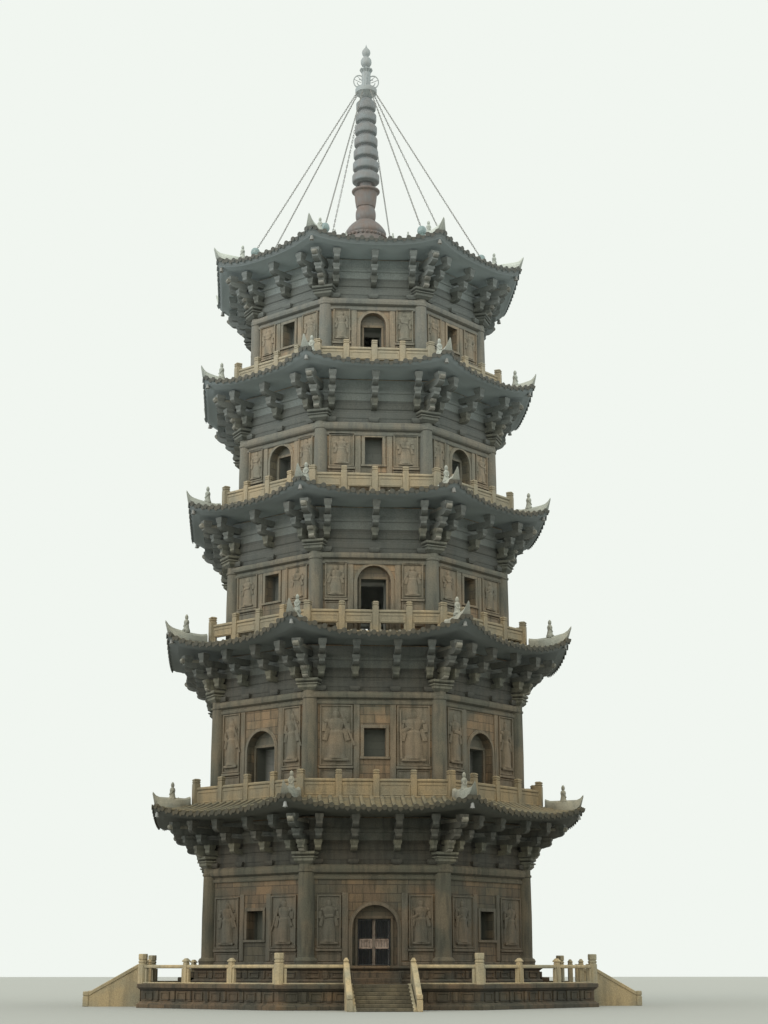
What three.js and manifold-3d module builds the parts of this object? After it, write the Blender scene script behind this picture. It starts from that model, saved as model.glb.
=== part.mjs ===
// A five-storey octagonal stone pagoda, built up as named pieces from the ground to the tip of its finial.
// Sizes are those of the real tower in millimetres; the whole group is then scaled to a 1:2 model.
// +Z is up, the origin is the middle of the plan at ground level, and the gate faces -Y.
import * as THREE from "three";
import { mergeVertices } from "three/addons/utils/BufferGeometryUtils.js";
import Module from "manifold-3d";

const wasm = await Module();
wasm.setup();

// Driving dimensions

const MODEL_SCALE = 0.5;
const SIDES = 8;
const SIDE_ANGLE = (2 * Math.PI) / SIDES;
const CORNER = Math.cos(SIDE_ANGLE / 2); // apothem over corner radius
const HALF_SIDE = Math.tan(SIDE_ANGLE / 2); // half a side's length over its apothem
const JOINT = 0.6; // open joint between neighbouring stones
const OVERCUT = 50; // how far a cutting form runs past the face it cuts
const BEDDING = 20; // how far steps and cheeks run into a parapet

const TERRACE = { apothem: 9980, height: 1000, recess: 190 };
const PLINTH = { apothem: 7700, top: 1730, recess: 130 };
const DOOR_STEP = { width: 2000, risers: 3, tread: 330 };
const STAIR = { width: 2480, risers: 7, foot: 12350, cheek: 140, parapet: 230, newel: 250 };
const BALUSTRADE = {
  apothem: 9750, thickness: 160, kerbTop: 1070, railLow: 1610, railTop: 1770,
  post: 220, postTop: 2040, wing: 120, cornerRadius: 200, cornerTop: 2230,
};

// Each storey, from the floor it stands on up to the underside of its roof.
// doorTurn is 0 where the doors are on the four main sides and 1 where they are on the diagonals.
// sets is the number of bracket sets between two corners, and blindSides names doors that are closed.
const STOREYS = [
  {
    floor: 1730, apothem: 7040, thickness: 2100, column: 370, doorTurn: 0, sets: 2,
    lintelLow: 5470, lintelTop: 5890, roofLow: 7860,
    door: { archWidth: 1910, archTop: 4210, width: 1400, top: 3650 },
    blindSides: [4],
    niche: { width: 950, low: 2800, top: 4000 },
  },
  {
    floor: 8600, apothem: 6840, thickness: 2000, column: 350, doorTurn: 1, sets: 2,
    lintelLow: 12900, lintelTop: 13260, roofLow: 15290,
    door: { archWidth: 1700, archTop: 11750, width: 1400, top: 11070 },
    niche: { width: 940, low: 10430, top: 11660 },
  },
  {
    floor: 15800, apothem: 6320, thickness: 1900, column: 330, doorTurn: 0, sets: 1,
    lintelLow: 19230, lintelTop: 19560, roofLow: 21660,
    door: { archWidth: 1510, archTop: 18970, width: 1120, top: 18430 },
    niche: { width: 850, low: 17630, top: 18880 },
  },
  {
    floor: 22200, apothem: 5880, thickness: 1800, column: 310, doorTurn: 1, sets: 1,
    lintelLow: 25330, lintelTop: 25760, roofLow: 27840,
    door: { archWidth: 1350, archTop: 25070, width: 980, top: 24630 },
    niche: { width: 800, low: 23760, top: 25050 },
  },
  {
    floor: 28450, apothem: 5450, thickness: 1700, column: 300, doorTurn: 0, sets: 1,
    lintelLow: 31580, lintelTop: 31950, roofLow: 33930,
    door: { archWidth: 1200, archTop: 31250, width: 820, top: 30670 },
    niche: { width: 750, low: 30080, top: 31230 },
  },
];
const RECESS_DEPTH = 400;
const NICHE_DEPTH = 600;
const LEDGE = 1000; // how much of each wall's top carries the roof ring; the floor slab takes the rest
const LINTEL = { proud: 200, face: 120 };
const COLUMN_SEGMENTS = 8;

// Each roof: its eave at the middle of a side, the top of the tiles there, and its hip ridges: how far they
// stand above the tiles, and their tips.
const ROOFS = [
  { eave: 9500, edgeTop: 8030, ridge: 420, tipRadius: 10360, tipTop: 9150 },
  { eave: 9100, edgeTop: 15420, ridge: 600, tipRadius: 10020, tipTop: 16850 },
  { eave: 8300, edgeTop: 21840, ridge: 420, tipRadius: 9190, tipTop: 23030 },
  { eave: 7800, edgeTop: 28030, ridge: 360, tipRadius: 8640, tipTop: 29230 },
  { eave: 7300, edgeTop: 34200, ridge: 310, tipRadius: 8140, tipTop: 35300 },
];
const EAVE = { steps: 4, bevel: 80, flare: 60, sweep: 2.6 };
const RIDGE = { width: 280, seat: 80 };
// A horn rises from its ridge in a hollow curve, and turns up into a spike over the last part of its length.
const HORN = {
  rise: 620, length: 1700, clear: 250, curve: 1.8, shares: [0.35, 0.6, 0.84], spike: 200, blunt: 100,
};
const TOP_ROOF = { crown: 1250, crownTop: 36650, ceilingTop: 35900, ceilingRim: 3000, ridgeStart: 2600 };

// Bracket sets step out from the wall in lifts; a corner's set is as wide as its cluster of arms.
// The sets between two corners start at a share of the height from the lintel to the roof.
const BRACKET = { band: 150, lifts: 3, start: 0.28, reach: 0.62, width: 420, cornerWidth: 900 };

// Each balcony railing: the apothem of its middle line, its top rail and the tops of its posts.
const RAILINGS = [
  { apothem: 7700, railTop: 9410, postTop: 9800 },
  { apothem: 7150, railTop: 16810, postTop: 17190 },
  { apothem: 6690, railTop: 23140, postTop: 23460 },
  { apothem: 6250, railTop: 29270, postTop: 29620 },
];
const RAILING = { bays: 4, panel: 180, post: 290, ledge: 150 };

// The iron finial, as [radius, height] profiles.
const FINIAL_SEGMENTS = 12;
const BASE_PROFILE = [
  [1090, TOP_ROOF.crownTop], [1090, 37560], [1030, 37660], [870, 37880], [680, 38120], [470, 38260],
  [510, 38400], [510, 38800], [430, 38980], [480, 39010], [575, 39740], [715, 39850], [715, 39950],
  [320, 40020], [320, 40330],
];
const RINGS = {
  count: 7, low: 40330, top: 45055, lowRadius: 695, topRadius: 510,
  neck: 0.7, edgeLow: 0.12, edgeTop: 0.66, shoulder: 0.97,
};
const STAY = { radius: 45, topRadius: 490, top: 45400, footRadius: 6000, footTop: 35500, anchor: 170 };
const DISC_PROFILE = [
  [200, RINGS.top], [330, 45200], [430, STAY.top], [556, STAY.top], [556, 45640], [500, 45730],
];
const CROWN_PROFILE = [
  [190, 45730], [240, 45840], [227, 46000], [227, 46620], [300, 46760], [230, 46790], [110, 46860],
];
const GOURD_PROFILE = [
  [110, 46860], [125, 46920], [230, 47020], [283, 47200], [235, 47390], [120, 47520],
  [195, 47640], [221, 47760], [150, 47940], [60, 48070],
];
const TIP_TOP = 48240;
const SCROLL = { halfWidth: 250, halfHeight: 310, wire: 45, centre: 370, height: 46090 };

const GATE = {
  clearance: 20, heel: 28, stile: 46, depth: 36, bar: 22, bars: 6,
  setBack: 600, plate: [2460, 2830],
};

// Shape helpers

function solidOf(geometry) {
  const bare = geometry.clone();
  bare.deleteAttribute("normal");
  bare.deleteAttribute("uv");
  const merged = mergeVertices(bare, 1e-3);
  const corners = merged.index.array;
  const faces = [];
  for (let i = 0; i < corners.length; i += 3) {
    const [a, b, c] = corners.subarray(i, i + 3);
    if (a !== b && b !== c && c !== a) faces.push(a, b, c);
  }
  return new wasm.Manifold(
    new wasm.Mesh({
      numProp: 3,
      vertProperties: merged.attributes.position.array,
      triVerts: new Uint32Array(faces),
    }),
  );
}

function geometryOf(solid) {
  const mesh = solid.getMesh();
  const geometry = new THREE.BufferGeometry();
  geometry.setAttribute("position", new THREE.BufferAttribute(mesh.vertProperties, 3));
  geometry.setIndex(new THREE.BufferAttribute(mesh.triVerts, 1));
  geometry.computeVertexNormals();
  return geometry;
}

function joined(geometries) {
  return geometries.map(solidOf).reduce((sum, solid) => sum.add(solid));
}

function range(count) {
  return Array.from({ length: count }, (_, i) => i);
}

// A block given by its lowest and highest corners.
function block(low, high) {
  const size = high.map((value, i) => value - low[i]);
  const middle = high.map((value, i) => (value + low[i]) / 2);
  return new THREE.BoxGeometry(...size).translate(...middle);
}

// Turns a geometry that was made on the front side about the tower's axis, by a number of sides.
function turned(geometry, sides) {
  return geometry.clone().rotateZ(sides * SIDE_ANGLE);
}

function onEachSide(geometry, first = 0, step = 1) {
  return range(SIDES / step).map((i) => turned(geometry, first + i * step));
}

function onEachCorner(geometry) {
  return onEachSide(geometry, 0.5);
}

// A ring whose plan is a regular octagon, from a closed profile of [apothem, height] points.
function octagonRing(profile) {
  const points = profile.map(([apothem, z]) => new THREE.Vector2(apothem / CORNER, z));
  points.push(points[0].clone());
  return new THREE.LatheGeometry(points, SIDES, SIDE_ANGLE / 2).rotateX(Math.PI / 2);
}

function octagonWall(inner, outer, low, high) {
  return octagonRing([[inner, low], [outer, low], [outer, high], [inner, high]]);
}

// A piece turned about the tower's axis and closed at both ends, from [radius, height] points going up.
function turnedPiece(profile, segments, start = 0) {
  const low = new THREE.Vector2(0, profile[0][1]);
  const high = new THREE.Vector2(0, profile.at(-1)[1]);
  const points = [low, ...profile.map(([radius, z]) => new THREE.Vector2(radius, z)), high];
  return new THREE.LatheGeometry(points, segments, start).rotateX(Math.PI / 2);
}

function solidOctagon(profile) {
  const corners = profile.map(([apothem, z]) => [apothem / CORNER, z]);
  return turnedPiece(corners, SIDES, SIDE_ANGLE / 2);
}

// A slab cut from an outline of [distance from the axis, height] points, upright on the front side.
function radialSlab(outline, width, offset = 0) {
  const shape = new THREE.Shape(outline.map(([distance, z]) => new THREE.Vector2(distance, z)));
  const slab = new THREE.ExtrudeGeometry(shape, { depth: width, bevelEnabled: false });
  slab.translate(0, 0, -width / 2 - offset);
  return slab.rotateX(Math.PI / 2).rotateZ(-Math.PI / 2);
}

// The form of an arched recess that runs back from the front face.
function archForm(width, low, top, front, back) {
  const radius = width / 2;
  const shape = new THREE.Shape();
  shape.moveTo(-radius, low);
  shape.lineTo(radius, low);
  shape.absarc(0, top - radius, radius, 0, Math.PI, false);
  const depth = back - front;
  const form = new THREE.ExtrudeGeometry(shape, { depth, bevelEnabled: false, curveSegments: 8 });
  return form.rotateX(Math.PI / 2).translate(0, back, 0);
}

// The group and its materials

const root = new THREE.Group();
root.name = "pagoda";
root.scale.setScalar(MODEL_SCALE);

const FINISHES = {
  wall: { color: "#7a6a52", roughness: 0.92, metalness: 0 },
  weathered: { color: "#4c4d45", roughness: 0.95, metalness: 0 },
  pale: { color: "#b5a988", roughness: 0.9, metalness: 0 },
  tile: { color: "#62665b", roughness: 0.85, metalness: 0 },
  iron: { color: "#6b4a3b", roughness: 0.7, metalness: 0.4 },
  gate: { color: "#2c2d2e", roughness: 0.5, metalness: 0.7 },
};

function addPiece(name, solid, finish) {
  const mesh = new THREE.Mesh(geometryOf(solid), new THREE.MeshStandardMaterial(FINISHES[finish]));
  mesh.name = name;
  root.add(mesh);
}

// Terrace and plinth

function terrace() {
  const { apothem, height, recess } = TERRACE;
  return joined([solidOctagon([
    [apothem, 0], [apothem, 160], [apothem - recess, 260],
    [apothem - recess, height - 260], [apothem, height - 180], [apothem, height],
  ])]);
}

function plinth() {
  const { apothem, top, recess } = PLINTH;
  const low = TERRACE.height;
  const body = solidOctagon([
    [apothem, low], [apothem, low + 140], [apothem - recess, low + 220],
    [apothem - recess, top - 180], [apothem, top - 110], [apothem, top],
  ]);
  const rise = (top - low) / DOOR_STEP.risers;
  const steps = range(DOOR_STEP.risers - 1).map((i) => {
    const front = apothem + (DOOR_STEP.risers - 1 - i) * DOOR_STEP.tread;
    const half = DOOR_STEP.width / 2;
    return block([-half, -front, low], [half, -apothem + recess, low + (i + 1) * rise]);
  });
  return joined([body, ...steps.flatMap((step) => onEachSide(step, 0, 2))]);
}

// Outside stairs: a flight with a low cheek, a sloping parapet and a newel on each side

function flight() {
  const { width, risers, foot, cheek, parapet, newel } = STAIR;
  const head = TERRACE.apothem + JOINT;
  const rise = TERRACE.height / risers;
  const tread = (foot - head) / risers;
  const outline = [[head, 0], [foot, 0]];
  for (const i of range(risers)) {
    outline.push([foot - i * tread, (i + 1) * rise], [foot - (i + 1) * tread, (i + 1) * rise]);
  }
  const side = (width + parapet) / 2;
  const inside = (width - cheek) / 2 + BEDDING;
  const border = [[head, 0], [foot + 40, 0], [foot + 40, 90], [head, TERRACE.height + 40]];
  const slope = [[head, 0], [foot - newel / 2, 0], [foot - newel / 2, 560], [head + 100, 1830], [head, 1830]];
  const post = block([side - newel / 2, -foot - newel / 2, 0], [side + newel / 2, -foot + newel / 2, 650]);
  const pieces = [-1, 1].flatMap((hand) => [
    radialSlab(border, cheek, hand * inside),
    radialSlab(slope, parapet, hand * side),
    post.clone().translate(hand < 0 ? -2 * side : 0, 0, 0),
  ]);
  return joined([radialSlab(outline, width + 2 * BEDDING), ...pieces]);
}

// Terrace balustrade: the quarter between two stairs, a rail and a kerb with posts that stand on wider feet

function terraceRailing() {
  const { apothem, thickness, kerbTop, railLow, railTop } = BALUSTRADE;
  const { post, postTop, wing, cornerRadius, cornerTop } = BALUSTRADE;
  const low = TERRACE.height;
  const end = (STAIR.width + STAIR.parapet) / 2;
  const far = 2 * TERRACE.apothem;
  const ring = (from, to) => octagonWall(apothem - thickness / 2, apothem + thickness / 2, from, to);
  const rings = joined([ring(low, kerbTop), ring(railLow, railTop)]);
  const quarter = rings.intersect(solidOf(block([end, -far, 0], [far, -end, far])));
  const upright = (along, side) => {
    const form = block([-post / 2, -apothem - post / 2, low], [post / 2, -apothem + post / 2, postTop]);
    return turned(form.translate(along, 0, 0), side);
  };
  const flank = (along, reach, side) => {
    const half = thickness / 2 - 10;
    const form = block([-reach, -apothem - half, low], [reach, -apothem + half, (railLow + railTop) / 2]);
    return turned(form.translate(along, 0, 0), side);
  };
  const halfSide = apothem * HALF_SIDE;
  const corner = new THREE.CylinderGeometry(cornerRadius, cornerRadius, cornerTop - low, 8)
    .rotateX(Math.PI / 2)
    .translate(0, -apothem / CORNER, (low + cornerTop) / 2);
  const reach = (cornerRadius + wing) / 2;
  const posts = [
    upright(end, 0), upright(-halfSide / 3, 1), upright(halfSide / 3, 1), upright(-end, 2),
    turned(corner, 0.5), turned(corner, 1.5),
    ...[-halfSide / 3, halfSide / 3].map((along) => flank(along, post / 2 + wing, 1)),
    ...[[1, 0], [-1, 1], [1, 1], [-1, 2]].map(([end, side]) => flank(end * (halfSide - reach), reach, side)),
  ];
  return quarter.add(joined(posts));
}

// Storeys

// The hollow wall of a storey. The sides in blindSides keep their arched recess but have no passage.
function storeyWall({ floor, apothem, thickness, roofLow, doorTurn, door, niche, blindSides = [] }) {
  const inner = apothem - thickness;
  const front = -apothem - OVERCUT;
  const low = floor - OVERCUT;
  const recess = archForm(door.archWidth, low, door.archTop, front, -apothem + RECESS_DEPTH);
  const passage = block([-door.width / 2, front, low], [door.width / 2, -inner + OVERCUT, door.top]);
  const nicheBack = -apothem + NICHE_DEPTH;
  const blind = block([-niche.width / 2, front, niche.low], [niche.width / 2, nicheBack, niche.top]);
  const doorSides = range(SIDES / 2).map((i) => doorTurn + 2 * i);
  const openSides = doorSides.filter((side) => !blindSides.includes(side));
  const openings = [
    ...doorSides.map((side) => turned(recess, side)),
    ...openSides.map((side) => turned(passage, side)),
    ...onEachSide(blind, 1 - doorTurn, 2),
  ];
  return solidOf(octagonWall(inner, apothem, floor, roofLow)).subtract(joined(openings));
}

// Eight engaged round columns, tied together by the round lintel beam that runs between them
function columnFrame({ floor, apothem, column, lintelLow, lintelTop, roofLow }) {
  const back = apothem + JOINT;
  const face = apothem + LINTEL.face;
  const proud = apothem + LINTEL.proud;
  const third = (lintelTop - lintelLow) / 3;
  const beam = octagonRing([
    [back, lintelLow], [face, lintelLow], [proud, lintelLow + third], [proud, lintelTop], [back, lintelTop],
  ]);
  const shaft = new THREE.CylinderGeometry(column * 0.96, column, lintelTop - floor, COLUMN_SEGMENTS)
    .rotateX(Math.PI / 2)
    .translate(0, -apothem / CORNER + 0.3 * column, (floor + lintelTop) / 2);
  const wall = solidOf(solidOctagon([[back, floor - OVERCUT], [back, roofLow]]));
  return joined([beam, ...onEachCorner(shaft)]).subtract(wall);
}

// A stepped stack of bracket arms standing out from distance start to distance end
function bracketStack(start, end, low, high, width, offset = 0) {
  const outline = [[start, low]];
  for (const i of range(BRACKET.lifts)) {
    const reach = start + ((end - start) * (i + 1)) / BRACKET.lifts;
    const liftLow = low + ((high - low) * i) / BRACKET.lifts;
    const liftTop = low + ((high - low) * (i + 1)) / BRACKET.lifts;
    outline.push([reach, liftLow], [reach, liftTop]);
  }
  outline.push([start, high]);
  return radialSlab(outline, width, offset);
}

function bracketRing({ apothem, lintelTop, roofLow, sets }, { eave }) {
  const back = apothem + JOINT;
  const reach = apothem + BRACKET.reach * (eave - apothem);
  const band = octagonWall(back, apothem + BRACKET.band, lintelTop, roofLow);
  const corner = bracketStack(back / CORNER, reach / CORNER, lintelTop, roofLow, BRACKET.cornerWidth);
  const halfSide = apothem * HALF_SIDE;
  const spots = sets === 2 ? [-halfSide / 3, halfSide / 3] : [0];
  const start = lintelTop + BRACKET.start * (roofLow - lintelTop);
  const sideStacks = spots.map((spot) => bracketStack(back, reach, start, roofLow, BRACKET.width, spot));
  return joined([band, ...onEachCorner(corner), ...sideStacks.flatMap((stack) => onEachSide(stack))]);
}

// Roofs

// How far a roof's corner rises over the middle of its eave
function cornerRise(roof) {
  return roof.tipTop - HORN.rise - roof.edgeTop;
}

// Bends a turned ring, whose radii are apothems, into an octagon whose corners sweep up and out.
// It stays level out to the apothem given as level.
function sweptOctagon(points, roof, level) {
  const ring = new THREE.LatheGeometry(points, SIDES * EAVE.steps, SIDE_ANGLE / 2).rotateX(Math.PI / 2);
  const place = ring.getAttribute("position");
  for (const i of range(place.count)) {
    const turn = Math.atan2(place.getX(i), -place.getY(i)) / SIDE_ANGLE;
    const side = Math.round(turn);
    const share = 2 * (turn - side);
    const along = Math.sign(share) * (1 - (1 - Math.min(Math.abs(share), 1)) ** 1.5);
    const apothem = Math.hypot(place.getX(i), place.getY(i));
    const outward = THREE.MathUtils.clamp((apothem - level) / (roof.eave - level), 0, 1) ** 2;
    const sweep = outward * Math.abs(along) ** EAVE.sweep;
    const depth = apothem + EAVE.flare * sweep;
    const spread = depth * HALF_SIDE * along;
    const angle = side * SIDE_ANGLE;
    place.setXYZ(
      i,
      depth * Math.sin(angle) + spread * Math.cos(angle),
      -depth * Math.cos(angle) + spread * Math.sin(angle),
      place.getZ(i) + cornerRise(roof) * sweep,
    );
  }
  return ring;
}

// The tiled top's height at a distance from the axis along a hip
function hipHeight(slope, roof, level, distance) {
  const apothem = distance * CORNER;
  const next = slope.findIndex(([reach]) => reach <= apothem);
  const [outer, outerTop] = slope[Math.max(next - 1, 0)];
  const [inner, innerTop] = slope[Math.max(next, 1)];
  const share = THREE.MathUtils.clamp((outer - apothem) / (outer - inner), 0, 1);
  const outward = THREE.MathUtils.clamp((apothem - level) / (roof.eave - level), 0, 1) ** 2;
  return outerTop + (innerTop - outerTop) * share + cornerRise(roof) * outward;
}

// A hip ridge that follows the tiles down and ends in an upturned horn
function hipRidge(slope, roof, level, start) {
  const neck = Math.max(roof.tipRadius - HORN.length, start + HORN.clear);
  const along = (share) => neck + share * (roof.tipRadius - neck);
  const tiles = (distance) => hipHeight(slope, roof, level, distance);
  const breaks = slope.map(([reach]) => reach / CORNER).filter((reach) => reach > start && reach < neck);
  const stations = [start, ...breaks.reverse(), neck];
  const top = stations.map((distance) => [distance, tiles(distance) + roof.ridge]);
  const hornStart = tiles(neck) + roof.ridge;
  const hornRise = roof.tipTop - HORN.spike - hornStart;
  const hornTop = HORN.shares.map((share) => [along(share), hornStart + hornRise * share ** HORN.curve]);
  const tip = [[roof.tipRadius, roof.tipTop], [roof.tipRadius, roof.tipTop - HORN.blunt]];
  const feet = [...stations, along(HORN.shares[1]), along(HORN.shares[2])];
  const under = feet.map((distance) => [distance, tiles(distance) - RIDGE.seat]).reverse();
  return radialSlab([...top, ...hornTop, ...tip, ...under], RIDGE.width);
}

// The ring roof over one of the four lower storeys, flat on top where the next storey's balcony is
function ringRoof(storey, roof, next, railing) {
  const inner = storey.apothem - LEDGE;
  const low = storey.roofLow;
  const balcony = railing.apothem + RAILING.panel / 2 + RAILING.ledge;
  const middle = (roof.eave + balcony) / 2;
  const slope = [
    [roof.eave, roof.edgeTop],
    [middle, roof.edgeTop + 0.42 * (next.floor - roof.edgeTop)],
    [balcony, next.floor],
  ];
  const points = [
    [inner, low], [balcony, low], [roof.eave - EAVE.bevel, low],
    [roof.eave, low + EAVE.bevel], ...slope, [inner, next.floor], [inner, low],
  ].map(([apothem, z]) => new THREE.Vector2(apothem, z));
  const start = (railing.apothem + RAILING.post / 2) / CORNER + RAILING.ledge;
  const ridge = hipRidge(slope, roof, balcony, start);
  return joined([sweptOctagon(points, roof, balcony), ...onEachCorner(ridge)]);
}

// The closed top roof, hollowed underneath, with a footing on each hip for a stay
function topRoof(storey, roof) {
  const { crown, crownTop, ceilingTop, ceilingRim, ridgeStart } = TOP_ROOF;
  const low = storey.roofLow;
  const height = crownTop - roof.edgeTop;
  const slope = [
    [roof.eave, roof.edgeTop],
    [0.77 * roof.eave, roof.edgeTop + 0.25 * height],
    [0.45 * roof.eave, roof.edgeTop + 0.55 * height],
    [crown, crownTop],
  ];
  const points = [
    [0, ceilingTop], [ceilingRim, low + 700], [storey.apothem - storey.thickness, low], [storey.apothem, low],
    [roof.eave - EAVE.bevel, low], [roof.eave, low + EAVE.bevel], ...slope, [0, crownTop],
  ].map(([apothem, z]) => new THREE.Vector2(apothem, z));
  const ridge = hipRidge(slope, roof, storey.apothem, ridgeStart);
  const footing = block(
    [-STAY.anchor, -STAY.footRadius - STAY.anchor, STAY.footTop - 700],
    [STAY.anchor, -STAY.footRadius + STAY.anchor, STAY.footTop],
  );
  const tiles = sweptOctagon(points, roof, storey.apothem);
  return joined([tiles, ...onEachCorner(ridge), ...onEachCorner(footing)]);
}

function floorSlab(storeyBelow, storey) {
  const apothem = storeyBelow.apothem - LEDGE - JOINT;
  return joined([solidOctagon([[apothem, storeyBelow.roofLow], [apothem, storey.floor]])]);
}

function balconyRailing({ apothem, railTop, postTop }, floor) {
  const panels = octagonWall(apothem - RAILING.panel / 2, apothem + RAILING.panel / 2, floor, railTop);
  const half = RAILING.post / 2;
  const deep = RAILING.panel / 2;
  const bay = (2 * apothem * HALF_SIDE) / RAILING.bays;
  const uprights = range(RAILING.bays - 1).flatMap((i) => {
    const along = (i + 1 - RAILING.bays / 2) * bay;
    const post = block([along - half, -apothem - deep, floor], [along + half, -apothem + deep, postTop]);
    return onEachSide(post);
  });
  const distance = apothem / CORNER;
  const corner = block([-half, -distance - half, floor], [half, -distance + half, postTop]);
  return joined([panels, ...uprights, ...onEachCorner(corner)]);
}

// Finial

function finialRings() {
  const { count, low, top, lowRadius, topRadius, neck, edgeLow, edgeTop, shoulder } = RINGS;
  const pitch = (top - low) / count;
  const profile = range(count).flatMap((i) => {
    const radius = lowRadius + ((topRadius - lowRadius) * i) / (count - 1);
    const base = low + i * pitch;
    return [
      [neck * radius, base], [radius, base + edgeLow * pitch],
      [radius, base + edgeTop * pitch], [neck * radius, base + shoulder * pitch],
    ];
  });
  profile.push([neck * topRadius, top]);
  return joined([turnedPiece(profile, FINIAL_SEGMENTS)]);
}

function finialCrown() {
  const scroll = new THREE.TorusGeometry(SCROLL.halfHeight, SCROLL.wire, 5, 8)
    .scale(SCROLL.halfWidth / SCROLL.halfHeight, 1, 1)
    .rotateX(Math.PI / 2)
    .rotateZ(Math.PI / 2)
    .translate(0, -SCROLL.centre, SCROLL.height);
  return joined([turnedPiece(CROWN_PROFILE, FINIAL_SEGMENTS), ...onEachSide(scroll, 0, 2)]);
}

// A taut stay from the underside of the finial's disc down to its footing on a hip
function stay(corner) {
  const height = STAY.top - STAY.footTop;
  const lean = (STAY.footRadius - STAY.topRadius) / height;
  const rod = new THREE.CylinderGeometry(STAY.radius, STAY.radius, height, 6).rotateX(Math.PI / 2);
  rod.applyMatrix4(new THREE.Matrix4().makeShear(0, 0, 0, 0, 0, lean));
  rod.translate(0, -(STAY.footRadius + STAY.topRadius) / 2, (STAY.top + STAY.footTop) / 2);
  return joined([turned(rod, corner + 0.5)]);
}

// Gate: two barred leaves in the front doorway, hung on their heel posts

function gateLeaf(hand) {
  const { door, floor, apothem } = STOREYS[0];
  const { clearance, heel, stile, depth, bar, bars, setBack, plate } = GATE;
  const y = -apothem + setBack;
  const hinge = door.width / 2 - clearance - heel;
  const inner = clearance / 2;
  const low = floor + clearance;
  const high = door.top - clearance;
  const rail = (from, to, thick) => block([inner, y - thick / 2, from], [hinge, y + thick / 2, to]);
  const post = new THREE.CylinderGeometry(heel, heel, high - floor - JOINT, 10)
    .rotateX(Math.PI / 2)
    .translate(hinge, y, (high + floor + JOINT) / 2);
  const spacing = (hinge - inner - stile) / (bars + 1);
  const uprights = range(bars).map((i) => {
    const x = inner + stile + (i + 1) * spacing;
    return block([x - bar / 2, y - bar / 2, low], [x + bar / 2, y + bar / 2, high]);
  });
  const pieces = [
    post,
    block([inner, y - depth / 2, low], [inner + stile, y + depth / 2, high]),
    rail(low, low + 60, depth),
    rail(high - 60, high, depth),
    rail(...plate, bar + 6),
    ...uprights,
  ];
  const leaf = joined(pieces);
  return hand > 0 ? leaf : leaf.mirror([1, 0, 0]);
}

// The assembly, from the ground up

addPiece("terrace", terrace(), "wall");
addPiece("plinth", plinth(), "wall");
const QUARTERS = ["front", "right", "back", "left"];
const quarterRailing = geometryOf(terraceRailing());
const quarterFlight = geometryOf(flight());
QUARTERS.forEach((quarter, i) => {
  addPiece(`steps_${quarter}`, solidOf(turned(quarterFlight, 2 * i)), "pale");
  const nextQuarter = QUARTERS[(i + 1) % 4];
  addPiece(`terrace_railing_${quarter}_${nextQuarter}`, solidOf(turned(quarterRailing, 2 * i)), "pale");
});

STOREYS.forEach((storey, i) => {
  const number = i + 1;
  const roof = ROOFS[i];
  const next = STOREYS[i + 1];
  addPiece(`wall_${number}`, storeyWall(storey), "wall");
  addPiece(`columns_${number}`, columnFrame(storey), "weathered");
  addPiece(`brackets_${number}`, bracketRing(storey, roof), "weathered");
  if (next) {
    addPiece(`roof_${number}`, ringRoof(storey, roof, next, RAILINGS[i]), "tile");
    addPiece(`floor_${number + 1}`, floorSlab(storey, next), "wall");
    addPiece(`railing_${number + 1}`, balconyRailing(RAILINGS[i], next.floor), "pale");
  } else {
    addPiece(`roof_${number}`, topRoof(storey, roof), "tile");
  }
});

addPiece("finial_base", joined([turnedPiece(BASE_PROFILE, FINIAL_SEGMENTS)]), "iron");
addPiece("finial_rings", finialRings(), "iron");
addPiece("finial_disc", joined([turnedPiece(DISC_PROFILE, FINIAL_SEGMENTS)]), "iron");
addPiece("finial_crown", finialCrown(), "iron");
addPiece("finial_gourd", joined([turnedPiece([...GOURD_PROFILE, [0, TIP_TOP]], FINIAL_SEGMENTS)]), "iron");
for (const i of range(SIDES)) addPiece(`stay_${i + 1}`, stay(i), "gate");
addPiece("gate_leaf_left", gateLeaf(-1), "gate");
addPiece("gate_leaf_right", gateLeaf(1), "gate");

export default root;
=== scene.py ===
# %% [markdown]
# # An octagonal stone pagoda of five storeys
# The measured model gives every size and every moving part. This lesson dresses it: carved walls,
# bracket sets, tiled roofs, railings, an iron finial with chains, and the stone they are made of.
# All sizes here are metres of the real tower, and each piece is halved at the end, because the model
# is half size. That way a drawing of the tower and a number in this file always agree.

import math
import random

import bmesh
import bpy
from mathutils import Matrix, Vector


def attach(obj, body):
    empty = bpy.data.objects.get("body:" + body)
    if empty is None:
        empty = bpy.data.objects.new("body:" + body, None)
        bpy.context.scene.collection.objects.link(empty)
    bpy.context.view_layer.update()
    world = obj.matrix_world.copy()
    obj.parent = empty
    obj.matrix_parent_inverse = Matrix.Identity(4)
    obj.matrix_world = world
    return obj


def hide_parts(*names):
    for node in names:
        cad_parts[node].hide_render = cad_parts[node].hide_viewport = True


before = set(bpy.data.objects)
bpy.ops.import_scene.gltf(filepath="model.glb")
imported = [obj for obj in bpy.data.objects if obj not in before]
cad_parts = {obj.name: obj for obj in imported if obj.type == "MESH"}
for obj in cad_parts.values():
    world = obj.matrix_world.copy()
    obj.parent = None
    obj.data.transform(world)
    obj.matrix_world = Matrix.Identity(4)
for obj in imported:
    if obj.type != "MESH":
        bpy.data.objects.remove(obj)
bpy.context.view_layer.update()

# %% [markdown]
# ## Sizes
# Each storey stands on a floor and ends under its roof. The apothem is the distance from the
# tower's axis to the middle of a wall. Doors are on the four main sides of one storey and on the
# diagonals of the next, which keeps the wall strong, so `turn` says which sides have them.

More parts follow.
